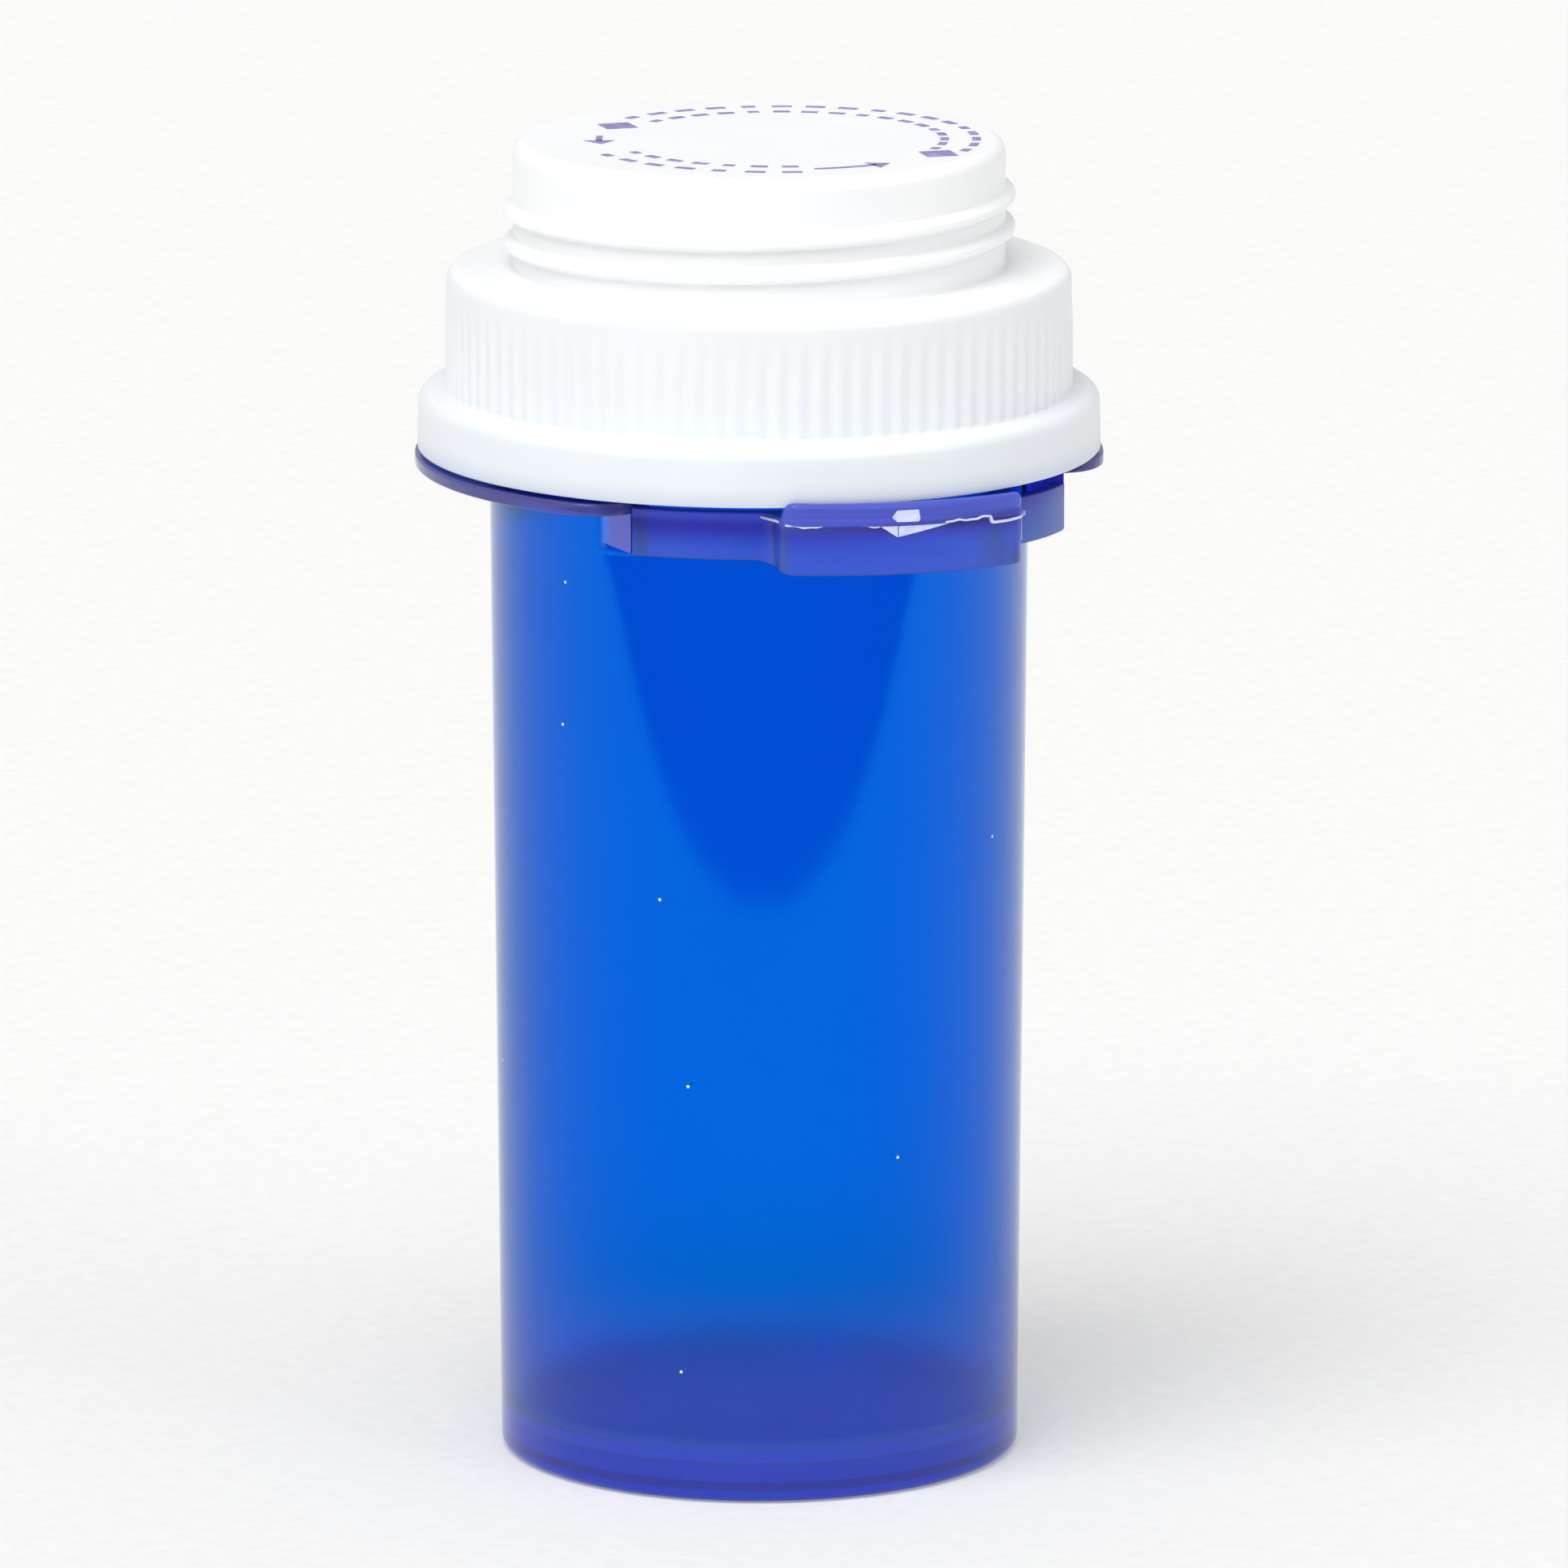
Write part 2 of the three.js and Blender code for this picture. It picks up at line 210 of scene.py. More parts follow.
def line(start, end, step=3.0):
    """Points from start up to, but not including, end, no further apart than step."""
    start, end = np.array(start, float), np.array(end, float)
    count = max(1, math.ceil(np.linalg.norm(end - start) / step))
    return [tuple(start + (end - start) * i / count) for i in range(count)]


def arc(centre, radius, from_deg, to_deg, steps=8):
    """Points of a rounded corner, both ends included."""
    angles = np.radians(np.linspace(from_deg, to_deg, steps + 1))
    return [(centre[0] + radius * math.cos(a), centre[1] + radius * math.sin(a)) for a in angles]


def joined_line(points, step=3.0):
    """Straight runs through the points. A point's third value is the step of the run from it."""
    out = []
    for here, there in zip(points, points[1:]):
        out += line(here[:2], there[:2], here[2] if len(here) > 2 else step)
    return [*out, points[-1][:2]]


def smooth(t):
    """0 below 0 and 1 above 1, with a soft step between."""
    t = np.clip(t, 0.0, 1.0)
    return t * t * (3.0 - 2.0 * t)


# ---- Meshes ----


def added(name, data):
    """A new object in the scene, which holds a mesh, a light or a camera."""
    made = bpy.data.objects.new(name, data)
    bpy.context.scene.collection.objects.link(made)
    return made


def mesh_object(name, verts, faces, sharp=32.0):
    """An object with the mesh of some points in millimetres, shaded smooth up to the angle sharp."""
    mesh = bpy.data.meshes.new(name)
    mesh.from_pydata((np.asarray(verts, float) * MM).tolist(), [], faces)
    mesh.shade_smooth()
    mesh.set_sharp_from_angle(angle=math.radians(sharp))
    mesh.validate()
    return added(name, mesh)


def edited_object(name, edit):
    """An object with the mesh of a bmesh, which it frees."""
    mesh = bpy.data.meshes.new(name)
    edit.to_mesh(mesh)
    edit.free()
    return added(name, mesh)


def around(radius, azimuth):
    """The place, as x and y, at a radius and an azimuth."""
    turn = np.radians(azimuth)
    return radius * np.sin(turn), -radius * np.cos(turn)


def turned(name, profile, shape=None, columns=COLUMNS, sharp=32.0):
    """A closed skin round Z. The profile is anticlockwise and starts and ends on the axis.
    shape(radius, height, azimuth) returns the radius that each point really has."""
    rings = np.array(profile[1:-1], float)
    azimuth = np.arange(columns) * 360.0 / columns
    radius = np.repeat(rings[:, :1], columns, axis=1)
    height = np.repeat(rings[:, 1:], columns, axis=1)
    turn = np.repeat(azimuth[None, :], len(rings), axis=0)
    if shape:
        radius = shape(radius, height, turn)
    x, y = around(radius, turn)
    verts = np.stack([x, y, height], axis=2).reshape(-1, 3)
    first, last = len(verts), len(verts) + 1
    verts = np.vstack([verts, [0, 0, profile[0][1]], [0, 0, profile[-1][1]]])
    column = np.arange(columns)
    after = (column + 1) % columns
    faces = [(first, b, a) for a, b in zip(column.tolist(), after.tolist())]
    for row in range(len(rings) - 1):
        low, high = row * columns, (row + 1) * columns
        quads = np.stack([low + column, low + after, high + after, high + column], axis=1)
        faces += quads.tolist()
    top = (len(rings) - 1) * columns
    faces += [(top + a, top + b, last) for a, b in zip(column.tolist(), after.tolist())]
    return mesh_object(name, verts, faces, sharp)


def fix_normals(made):
    """Turns a mesh's faces to face out."""
    edit = bmesh.new()
    edit.from_mesh(made.data)
    bmesh.ops.recalc_face_normals(edit, faces=edit.faces)
    edit.to_mesh(made.data)
    edit.free()


def lofted(name, stations, sharp=40.0):
    """A closed skin through closed sections of (radius, height) points, each at its own azimuth."""
    verts, count = [], len(stations[0][1])
    for azimuth, section in stations:
        x, y = around(section[:, 0], azimuth)
        verts += np.stack([x, y, section[:, 1]], axis=1).tolist()
    faces = [list(range(count))[::-1], [len(verts) - count + k for k in range(count)]]
    for station in range(len(stations) - 1):
        here, there = station * count, (station + 1) * count
        for k in range(count):
            after = (k + 1) % count
            faces.append([here + k, there + k, there + after, here + after][::-1])
    made = mesh_object(name, verts, faces, sharp)
    fix_normals(made)
    return made


def prism(name, outlines, bottom, top, edge=0.0):
    """Upright prisms on plan outlines, with their top edges bevelled by edge."""
    edit = bmesh.new()
    for outline in outlines:
        verts = [edit.verts.new((x * MM, y * MM, bottom * MM)) for x, y in outline]
        face = edit.faces.new(verts)
        raised = bmesh.ops.extrude_face_region(edit, geom=[face])
        lifted = [v for v in raised["geom"] if isinstance(v, bmesh.types.BMVert)]
        bmesh.ops.translate(edit, verts=lifted, vec=(0, 0, (top - bottom) * MM))
    bmesh.ops.recalc_face_normals(edit, faces=edit.faces)
    if edge:
        rims = [e for e in edit.edges if all(v.co.z > (top - TINY) * MM for v in e.verts)]
        bmesh.ops.bevel(edit, geom=rims, offset=edge * MM, segments=3, affect="EDGES", profile=0.5)
    return edited_object(name, edit)


def merged(name, pieces):
    """One object that holds the meshes of several."""
    edit = bmesh.new()
    for piece in pieces:
        edit.from_mesh(piece.data)
        bpy.data.objects.remove(piece)
    return edited_object(name, edit)


# ---- Threads ----


def thread(height, azimuth, bottom, lead, start, sweep, crest, base, fade=22.0):
    """How full a helical ridge is at each point, from 0 off it to 1 on its crest. It starts at the height
    bottom and the azimuth start, climbs by lead each turn, and its ends fade out over fade degrees."""
    full = np.zeros_like(height)
    for turn in range(-1, int(sweep // 360) + 2):
        along = (azimuth - start) % 360.0 + 360.0 * turn
        ends = smooth(along / fade) * smooth((sweep - along) / fade)
        middle = bottom + lead * along / 360.0
        off = np.abs(height - middle)
        flank = smooth((base / 2 - off) / (base / 2 - crest / 2))
        full = np.maximum(full, flank * ends)
    return full


def quick_threads(height, azimuth, bottom):
    """The short, steep ridges that hold the cap on, evenly spaced round the neck or the skirt."""
    pitch = 360.0 / QUICK_STARTS
    starts = [QUICK_FROM + pitch * i for i in range(QUICK_STARTS)]
    return np.max([thread(height, azimuth, bottom, start=start, **QUICK_THREAD) for start in starts], axis=0)


# ---- The vial ----


def droop(azimuth):
    """How far the latch has sagged at an azimuth."""
    return DROOP * np.clip((azimuth - DROOP_FROM) / (FLANGE_END + 6.0 - DROOP_FROM), 0.0, 1.0)


def splay(azimuth):
    """How far the right arm stands out from where it should be."""
    return SPLAY * np.clip((azimuth - TAB_HALF) / (FLANGE_END - TAB_HALF), 0.0, 1.0)


def signed(azimuth):
    """The azimuth as -180 to 180, so that its sign tells the tab's two sides apart."""
    return (azimuth + 180.0) % 360.0 - 180.0


def flange_edge(azimuth):
    """The flange's radius at an azimuth: full round the back, a rounded corner, then nothing."""
    side = np.abs(signed(azimuth))
    into = np.clip(side - FLANGE_END, 0.0, FLANGE_CORNER - FLANGE_END)
    bend = FLANGE_CORNER - FLANGE_END - 2 * FLANGE_PULL
    t = (np.sqrt(FLANGE_PULL ** 2 + bend * into) - FLANGE_PULL) / bend
    corner = FLANGE_RADIUS - (FLANGE_RADIUS - FLANGE_END_RADIUS) * (1.0 - t) ** 2
    return np.where(side < FLANGE_END, SHOULDER_RADIUS + SEAM, corner)


def root_swell(azimuth):
    """How far an arm's root stands out from the tube: its face is one flat plane that slants outwards."""
    side = np.abs(signed(azimuth))
    near_x, near_y = around(SHOULDER_RADIUS, ROOT_START)
    far_x, far_y = around(ARM_OUTER + splay(signed(azimuth)), FLANGE_END)
    run_x, run_y = far_x - near_x, far_y - near_y
    x, y = around(1.0, side)
    face = (near_x * run_y - near_y * run_x) / (x * run_y - y * run_x)
    return np.where((side < FLANGE_END) | (side > ROOT_START), 0.0, face - SHOULDER_RADIUS)


def vial_radius(radius, height, azimuth):
    """Shapes the turned vial: it ends the flange, swells the arms' roots and adds the neck's threads."""
    outside = radius > SHOULDER_RADIUS - 0.2
    span = FLANGE_RADIUS - SHOULDER_RADIUS
    share = np.clip((radius - SHOULDER_RADIUS) / span, 0, 1)
    on_flange = outside & (height >= FLANGE_BOTTOM - TINY) & (height <= FLANGE_TOP + TINY)
    made = np.where(on_flange, SHOULDER_RADIUS + share * (flange_edge(azimuth) - SHOULDER_RADIUS), radius)
    root_bottom = ARM_BOTTOM - droop(signed(azimuth))
    on_root = outside & (height < FLANGE_BOTTOM - TINY) & (height > root_bottom - 0.5)
    swell = root_swell(azimuth) * smooth((height - root_bottom + ROOT_EDGE / 2) / ROOT_EDGE)
    made = np.where(on_root, np.maximum(SHOULDER_RADIUS + swell, radius), made)
    under = on_flange & (height < FLANGE_BOTTOM + TINY)
    made = np.where(under, np.maximum(made, SHOULDER_RADIUS + root_swell(azimuth)), made)
    on_neck = height > NECK_BOTTOM + 0.3
    on_neck_outside = on_neck & (radius > NECK_OUTER - 2 * NEAR)
    made = made + on_neck_outside * QUICK_NECK_DEPTH * quick_threads(height, azimuth, QUICK_BOTTOM)
    on_neck_inside = on_neck & (np.abs(radius - NECK_INNER) < 2 * NEAR)
    return made - on_neck_inside * PLUG_DEPTH * thread(height, azimuth, **PLUG_THREAD)


def vial_profile():
    """The vial's section, from the axis under its foot, up its outside, and down its inside to the axis."""
    flange_end = FLANGE_RADIUS - FLANGE_EDGE
    under = [(SHOULDER_RADIUS + (flange_end - SHOULDER_RADIUS) * i / FLANGE_STEPS, FLANGE_BOTTOM)
             for i in range(FLANGE_STEPS)]
    over = [(radius, FLANGE_TOP) for radius, _ in reversed(under)]
    edge = [
        *arc((flange_end, FLANGE_BOTTOM + FLANGE_EDGE), FLANGE_EDGE, -90, 0, 3),
        *arc((flange_end, FLANGE_TOP - FLANGE_EDGE), FLANGE_EDGE, 0, 90, 3),
    ]
    outside = [
        *joined_line([(0, FOOT_Z + FOOT_RECESS), (FOOT_INNER - 0.7, FOOT_Z + FOOT_RECESS)]),
        *arc((FOOT_INNER + FLANGE_EDGE, FOOT_Z + FLANGE_EDGE), FLANGE_EDGE, 200, 270, 3),
        *arc((BASE_RADIUS - BASE_CORNER, FOOT_Z + BASE_CORNER), BASE_CORNER, -90, 0, 8),
        *joined_line([(BASE_RADIUS, FOOT_Z + BASE_CORNER + 0.2, 4.0),
                      (SHOULDER_RADIUS - 0.01, ARM_BOTTOM - DROOP - 0.3, 0.12),
                      (SHOULDER_RADIUS, FLANGE_BOTTOM - 0.02)])[:-1],
    ]
    neck = [
        (SHOULDER_RADIUS, FLANGE_TOP + 0.05),
        *joined_line([(NECK_OUTER, NECK_BOTTOM + 0.35, 0.11), (NECK_OUTER, NECK_TOP - LIP_EDGE)])[:-1],
        *arc((NECK_OUTER - LIP_EDGE, NECK_TOP - LIP_EDGE), LIP_EDGE, 0, 90, 5),
        *arc((NECK_INNER + LIP_EDGE, NECK_TOP - LIP_EDGE), LIP_EDGE, 90, 180, 5),
    ]
    inside = [
        *joined_line([(NECK_INNER, NECK_TOP - 0.5, 0.11), (NECK_INNER, NECK_BOTTOM)]),
        *joined_line([(SHOULDER_RADIUS - WALL, NECK_BOTTOM - 1.0, 4.0),
                      (BASE_RADIUS - WALL, FLOOR_TOP + FLOOR_FILLET + 0.1)])[:-1],
        *arc((BASE_RADIUS - WALL - FLOOR_FILLET, FLOOR_TOP + FLOOR_FILLET), FLOOR_FILLET, 0, -90, 10),
        *joined_line([(12.2, FLOOR_TOP), (12.0, FLOOR_TOP - FLOOR_DIP), (4.9, FLOOR_TOP - FLOOR_DIP)]),
        *joined_line([(4.7, FLOOR_TOP + FLOOR_RISE), (0.9, FLOOR_TOP + FLOOR_RISE),
                      (0.6, FLOOR_TOP - FLOOR_RISE), (0, FLOOR_TOP - FLOOR_RISE)]),
    ]
    return [*outside, *under, *edge, *over, *neck, *inside]


# ---- The latch ----


def latch_plan():
    """The latch's outer skin in plan, from the tab's middle to the end of an arm: (azimuth, radius)."""
    corner = TAB_HALF - math.degrees(TAB_CORNER / TAB_RADIUS)
    path = [(a, TAB_RADIUS) for a in np.linspace(0.0, corner, 110)]
    for turn in np.radians(np.linspace(10, 90, 9)):
        inwards = TAB_CORNER * (1.0 - math.cos(turn))
        aside = math.degrees(TAB_CORNER * (math.sin(turn) - 1.0) / TAB_RADIUS)
        path.append((TAB_HALF + aside, TAB_RADIUS - inwards))
    end_outer, end_inner = TAB_RADIUS - TAB_CORNER, ARM_OUTER + TAB_FILLET
    path += [(TAB_HALF + TAB_LEAN * t, end_outer + t * (end_inner - end_outer)) for t in (0.5, 1.0)]
    for turn in np.radians(np.linspace(9, 90, 10)):
        aside = math.degrees(TAB_FILLET * (1.0 - math.cos(turn)) / ARM_OUTER)
        path.append((TAB_HALF + TAB_LEAN + aside, ARM_OUTER + TAB_FILLET * (1.0 - math.sin(turn))))
    path += [(a, ARM_OUTER) for a in np.linspace(path[-1][0] + 0.3, FLANGE_END - 0.12, 60)]
    return path


def bead_top(side):
    """The height of the bead's top: it ends either side in a rounded corner."""
    left = math.radians(BEAD_END - side) * TAB_RADIUS
    if left <= 0.0:
        return LATCH_TOP
    over = max(0.0, BEAD_CORNER - left)
    return BEAD_TOP - BEAD_CORNER + math.sqrt(BEAD_CORNER ** 2 - over ** 2)


def latch_section(azimuth, skin):
    """The latch's closed section at an azimuth: a plain arm, or the tab's channel with the bead on top."""
    side = abs(azimuth)
    channel = float(smooth((TAB_HALF - CHANNEL_INSIDE - side) / CHANNEL_FADE))
    drop = float(smooth((TAB_HALF + DROP_OUTSIDE - side) / DROP_FADE))
    beaded = 1.0 if side < BEAD_END else 0.0
    skin = skin + float(splay(azimuth))
    arm_inner = ARM_INNER + float(splay(azimuth))
    wall_inner = arm_inner + (TAB_RADIUS - TAB_WALL - arm_inner) * channel
    plate_inner = arm_inner + (PLATE_INNER - arm_inner) * channel
    plate_bottom = LATCH_TOP - PLATE
    bottom = ARM_BOTTOM + (TAB_BOTTOM - ARM_BOTTOM) * drop
    top = bead_top(side)
    bead = skin + (BEAD_RADIUS - TAB_RADIUS) * beaded * float(smooth((BEAD_END - side) / BEAD_FADE))
    bead_inner = bead - BEAD_WALL
    edge = ARM_EDGE + (BEAD_EDGE - ARM_EDGE) * beaded
    groove = BEAD_GROOVE * beaded
    climb = top - edge - FLASH_Z
    outside = [
        (skin - 0.2, bottom),
        (skin - 0.06, bottom + 0.05),
        (skin, bottom + 0.2),
        (skin, (bottom + FLASH_Z) / 2),
        (skin, FLASH_Z - 0.12),
        (skin - 0.03 * beaded, FLASH_Z - 0.03),
        (bead - 0.04 * beaded, FLASH_Z + 0.03),
        (bead, FLASH_Z + 0.14 * climb + 0.02),
        (bead - 0.01 * beaded, FLASH_Z + 0.36 * climb),
        (bead - groove, FLASH_Z + 0.5 * climb),
        (bead - groove, FLASH_Z + 0.56 * climb),
        (bead - 0.015 * beaded, FLASH_Z + 0.72 * climb),
        *arc((bead - edge, top - edge), edge, 0, 90, 6),
    ]
    inside = [
        (bead_inner + 0.06, top),
        (bead_inner, top - 0.07 * beaded),
        (bead_inner - 0.03, LATCH_TOP),
        ((bead_inner + plate_inner) / 2, LATCH_TOP),
        (plate_inner + 0.1, LATCH_TOP),
        (plate_inner, LATCH_TOP - 0.1),
        (plate_inner, plate_bottom + 0.05),
        (plate_inner + 0.05 * channel, plate_bottom),
        ((plate_inner + wall_inner) / 2, plate_bottom),
        (wall_inner - 0.05 * channel, plate_bottom),
        (wall_inner, plate_bottom - 0.05),
        (wall_inner, bottom + 0.1),
        (wall_inner + 0.1, bottom),
    ]
    return np.array([*outside, *inside])


def drooped(azimuth, section):
    """A section let down as far as the latch has sagged there."""
    return section - np.array([0.0, float(droop(azimuth))])


def spring_latch():
    """The two arms and the tab between them, as one skin."""
    half = latch_plan()
    path = [(-a, r) for a, r in reversed(half)] + half[1:]
    stations = [(a, drooped(a, latch_section(a, r))) for a, r in path]
    return lofted("spring_latch", stations)


def tab_skin(azimuth):
    """The tab's outer radius at an azimuth, its rounded ends included."""
    azimuths, radii = zip(*(point for point in latch_plan() if point[0] < TAB_HALF + 0.1))
    return float(np.interp(abs(azimuth), azimuths, radii))


def fin(points, proud, skin=tab_skin):
    """A thin strip on the tab, as loft stations: a fin of flash, and also the pale strips that paint
    highlights. Its points are (azimuth, lowest, highest), with their heights measured from the parting line."""
    azimuths, lows, highs = (np.array(column, float) for column in zip(*points))
    stations = []
    for azimuth in np.linspace(azimuths[0], azimuths[-1], max(4, int(4 * np.ptp(azimuths)))):
        low = FLASH_Z + np.interp(azimuth, azimuths, lows)
        high = FLASH_Z + np.interp(azimuth, azimuths, highs)
        inner, outer = skin(azimuth) - 0.04, skin(azimuth) + proud
        section = np.array([(inner, low), (outer, low + 0.01), (outer - 0.01, high), (inner, high)])
        stations.append((azimuth, drooped(azimuth, section)))
    return stations


def parting_line():
    """The uneven line of flash where the mould parted, either side of the tab's middle: each stretch's
    points, and how far it stands proud."""
    wave = [(a, 0.03 + 0.05 * math.sin(1.1 * a) + 0.03 * math.sin(2.7 * a))
            for a in np.arange(-22, 14, 0.5)]
    left = [(a, z - 0.06, z + 0.07) for a, z in wave if a < -15.5]
    short = [(a, z - 0.05, z + 0.05) for a, z in wave if -10.0 < a < -6.0]
    right = [(a, z + 0.01 + 0.012 * (a - 5.0), z + 0.13 + 0.014 * (a - 5.0)) for a, z in wave if a > 4.5]
    step = [(13.6, 0.14, 0.3), (14.0, -0.26, 0.28), (14.5, -0.3, -0.14), (18.0, -0.28, -0.14),
            (22.4, -0.12, 0.01)]
    return [(left, 0.09), (short, 0.08), (right, 0.2), (step, 0.2)]


def tab_flash_and_highlights():
    """Pale pieces on the tab: its parting line, real flash whose pale colour is a painted highlight; a patch
    below it and one on the bead at the middle, a strip down its right end and a web in its left inner
    corner, which are painted highlights; and a burr at the top of the right end."""
    # A pale patch below the parting line at the middle: painted highlight.
    lower_highlight_start = [(-6.3, -0.03, 0.03), (-3.5, -0.73, 0.03)]
    lower_highlight = [(-3.3, -0.71, 0.04), (1.0, -0.39, 0.07), (6.2, 0.01, 0.09)]
    # A pale strip down the right end: painted highlight on its rounded corner.
    end_highlight = [(21.6, -1.7, -0.1), (22.1, -1.6, -0.1)]
    burr = [(22.2, -0.08, 0.2), (22.75, -0.04, 0.16)]
    # The parting line's flash is real; its pale colour is a painted highlight.
    fins = [*parting_line(), (lower_highlight_start, 0.05), (lower_highlight, 0.03), (end_highlight, 0.1), (burr, 0.42)]
    pieces = [lofted("fin", fin(points, proud)) for points, proud in fins]
    # A pale patch on the bead at the middle: painted highlight.
    bead_highlight = [(-4.5, 0.55, 0.59), (-3.7, 0.27, 1.01), (0.2, 0.25, 1.03), (0.35, 0.43, 0.53)]
    pieces.append(lofted("bead_highlight", fin(bead_highlight, 0.035, lambda azimuth: BEAD_RADIUS)))
    # A pale web in the left inner corner: painted highlight.
    corner_highlight = [around(19.75, -26.2), around(19.75, -22.8), around(21.7, -22.9), around(21.3, -23.2)]
    pieces.append(prism("corner_highlight", [corner_highlight], FLASH_Z + 0.06, FLASH_Z + 0.2))
    return merged("tab_flash_and_highlights", pieces)


def pawl():
    """The tooth on the tab, cut back at its leading corner."""
    half, inner, outer = PAWL_HIGH[0], -PAWL_HIGH[1], -PAWL_LOW[1]
    outline = [(-half, -inner), (-half, -outer + PAWL_SLANT), (half - PAWL_TIP, -outer), (half, -outer),
               (half, -inner)]
    return prism("pawl", [outline], LATCH_TOP - droop(0.0) + SEAM, PAWL_HIGH[2], PAWL_BEVEL)


# ---- The cap ----


def ratchet(azimuth):
    """How far each saw tooth stands in: 0 on the flats, 1 on a tip."""
    along = (azimuth * RATCHET_COUNT / 360.0 + RATCHET_PHASE) % 1.0
    steep = smooth((along - RATCHET_FLAT) / RATCHET_STEEP)
    slope = smooth((along - RATCHET_CREST) / RATCHET_SLOPE)
    return steep * (1.0 - slope)


def cap_radius(radius, height, azimuth):
    """Shapes the turned cap: it adds the ribs, the boss's thread, the skirt's threads and the ratchet."""
    wave = 0.5 + 0.5 * np.cos(np.radians(azimuth * RIB_COUNT))
    fade = smooth((RIB_TOP - height) / RIB_FADE) * smooth((height - RIM_TOP + 0.05) / 0.25)
    on_skirt = (radius > SKIRT_RADIUS - 0.3) & (radius < SKIRT_RADIUS + 0.1) & (height > RIM_TOP - 0.2)
    made = radius + on_skirt * RIB_DEPTH * (wave ** 0.8 - 0.5) * fade
    on_boss = (np.abs(radius - BOSS_RADIUS) < NEAR) & (height > DECK + 0.2)
    made = made + on_boss * BOSS_DEPTH * thread(height, azimuth, **BOSS_THREAD)
    in_skirt = (np.abs(radius - SKIRT_INNER) < NEAR) & (height < DECK - SKIN)
    quick = quick_threads(height, azimuth, QUICK_BOTTOM - QUICK_LEAD / QUICK_STARTS / 2)
    made = made - in_skirt * QUICK_SKIRT_DEPTH * quick
    in_pocket = np.abs(radius - POCKET_INNER) < NEAR
    tooth = ratchet(azimuth) * smooth((height - RATCHET_BOTTOM) / 0.15)
    return made - in_pocket * (POCKET_INNER - RATCHET_TIP) * tooth


def cap_profile():
    """The cap's section, from the axis under its top, down its inside, and up its outside to the axis."""
    top, ceiling, under_deck = CAP_TOP - PRINT_HEIGHT, CAP_TOP - SKIN, DECK - SKIN
    corner = BOSS_INNER - BOSS_INNER_EDGE
    inside = [
        *joined_line([(0, ceiling), (corner, ceiling)])[:-1],
        *arc((corner, ceiling - BOSS_INNER_EDGE), BOSS_INNER_EDGE, 90, 0, 5),
        *joined_line([(BOSS_INNER, ceiling - BOSS_INNER_EDGE - 0.1, 4.0), (BOSS_INNER, under_deck),
                      (SKIRT_INNER, under_deck)])[:-1],
        *joined_line([(SKIRT_INNER, under_deck - 0.05, 0.12), (SKIRT_INNER, POCKET_TOP, 3.0),
                      (POCKET_INNER, POCKET_TOP, 0.15), (POCKET_INNER, RIM_BOTTOM + RIM_LOW_EDGE)]),
    ]
    rim_slope = RIM_RADIUS - RIM_TOP_RADIUS
    rim = [
        *arc((POCKET_INNER + RIM_LOW_EDGE, RIM_BOTTOM + RIM_LOW_EDGE), RIM_LOW_EDGE, 180, 270, 3),
        *arc((RIM_RADIUS - RIM_LOW_EDGE, RIM_BOTTOM + RIM_LOW_EDGE), RIM_LOW_EDGE, -90, 0, 3),
        *joined_line([(RIM_RADIUS - rim_slope * 0.1, RIM_BOTTOM + 0.5, 0.8),
                      (RIM_TOP_RADIUS, RIM_TOP - RIM_EDGE)])[:-1],
        *arc((RIM_TOP_RADIUS - RIM_EDGE, RIM_TOP - RIM_EDGE), RIM_EDGE, 0, 82, 8),
    ]
    skirt = [
        *arc((SKIRT_RADIUS + SKIRT_FILLET, RIM_TOP + SKIRT_FILLET), SKIRT_FILLET, 262, 180, 5),
        *joined_line([(SKIRT_RADIUS, RIM_TOP + 0.3, 0.3), (SKIRT_RADIUS, DECK - SHOULDER)])[:-1],
        *arc((SKIRT_RADIUS - SHOULDER, DECK - SHOULDER), SHOULDER, 0, 90, 10),
    ]
    boss = [
        *joined_line([(SKIRT_RADIUS - SHOULDER - 0.2, DECK, 1.0), (BOSS_RADIUS + BOSS_FILLET, DECK)])[:-1],
        *arc((BOSS_RADIUS + BOSS_FILLET, DECK + BOSS_FILLET), BOSS_FILLET, 270, 190, 4),
        *joined_line([(BOSS_RADIUS, DECK + 0.35, 0.09), (BOSS_RADIUS, top - BOSS_EDGE)])[:-1],
        *arc((BOSS_RADIUS - BOSS_EDGE, top - BOSS_EDGE), BOSS_EDGE, 0, 90, 10),
        *joined_line([(BOSS_RADIUS - BOSS_EDGE - 0.3, top), (0, top)]),
    ]
    return [*inside, *rim, *skirt, *boss]


def liner_profile():
    """The liner's section, a disc with rounded edges."""
    low, high, radius, edge = LINER_LOW[2], LINER_HIGH[2], LINER_HIGH[0], 0.2
    return [
        *joined_line([(0, low), (radius - edge, low)])[:-1],
        *arc((radius - edge, low + edge), edge, -90, 0, 4),
        *arc((radius - edge, high - edge), edge, 0, 90, 4),
        *joined_line([(radius - edge - 0.3, high), (0, high)]),
    ]


def ring_piece(inner, outer, start, end, steps):
    """The plan outline of a stretch of a ring."""
    angles = np.linspace(start, end, steps + 1)
    there = [around(outer, a) for a in angles]
    back = [around(inner, a) for a in angles[::-1]]
    return [*there, *back]


def dash_pair(at, half):
    """Two short dashes, one outside the other."""
    return [ring_piece(inner, outer, at - half, at + half, 4) for inner, outer in PRINT_DASHES]


def diamond(at):
    """A square mark with a corner towards the middle."""
    turn = math.radians(at)
    x, y = around(PRINT_MIDDLE, at)
    return [[(x + DIAMOND_SIZE * math.sin(turn + a), y - DIAMOND_SIZE * math.cos(turn + a))
             for a in np.radians((0, 90, 180, 270))]]


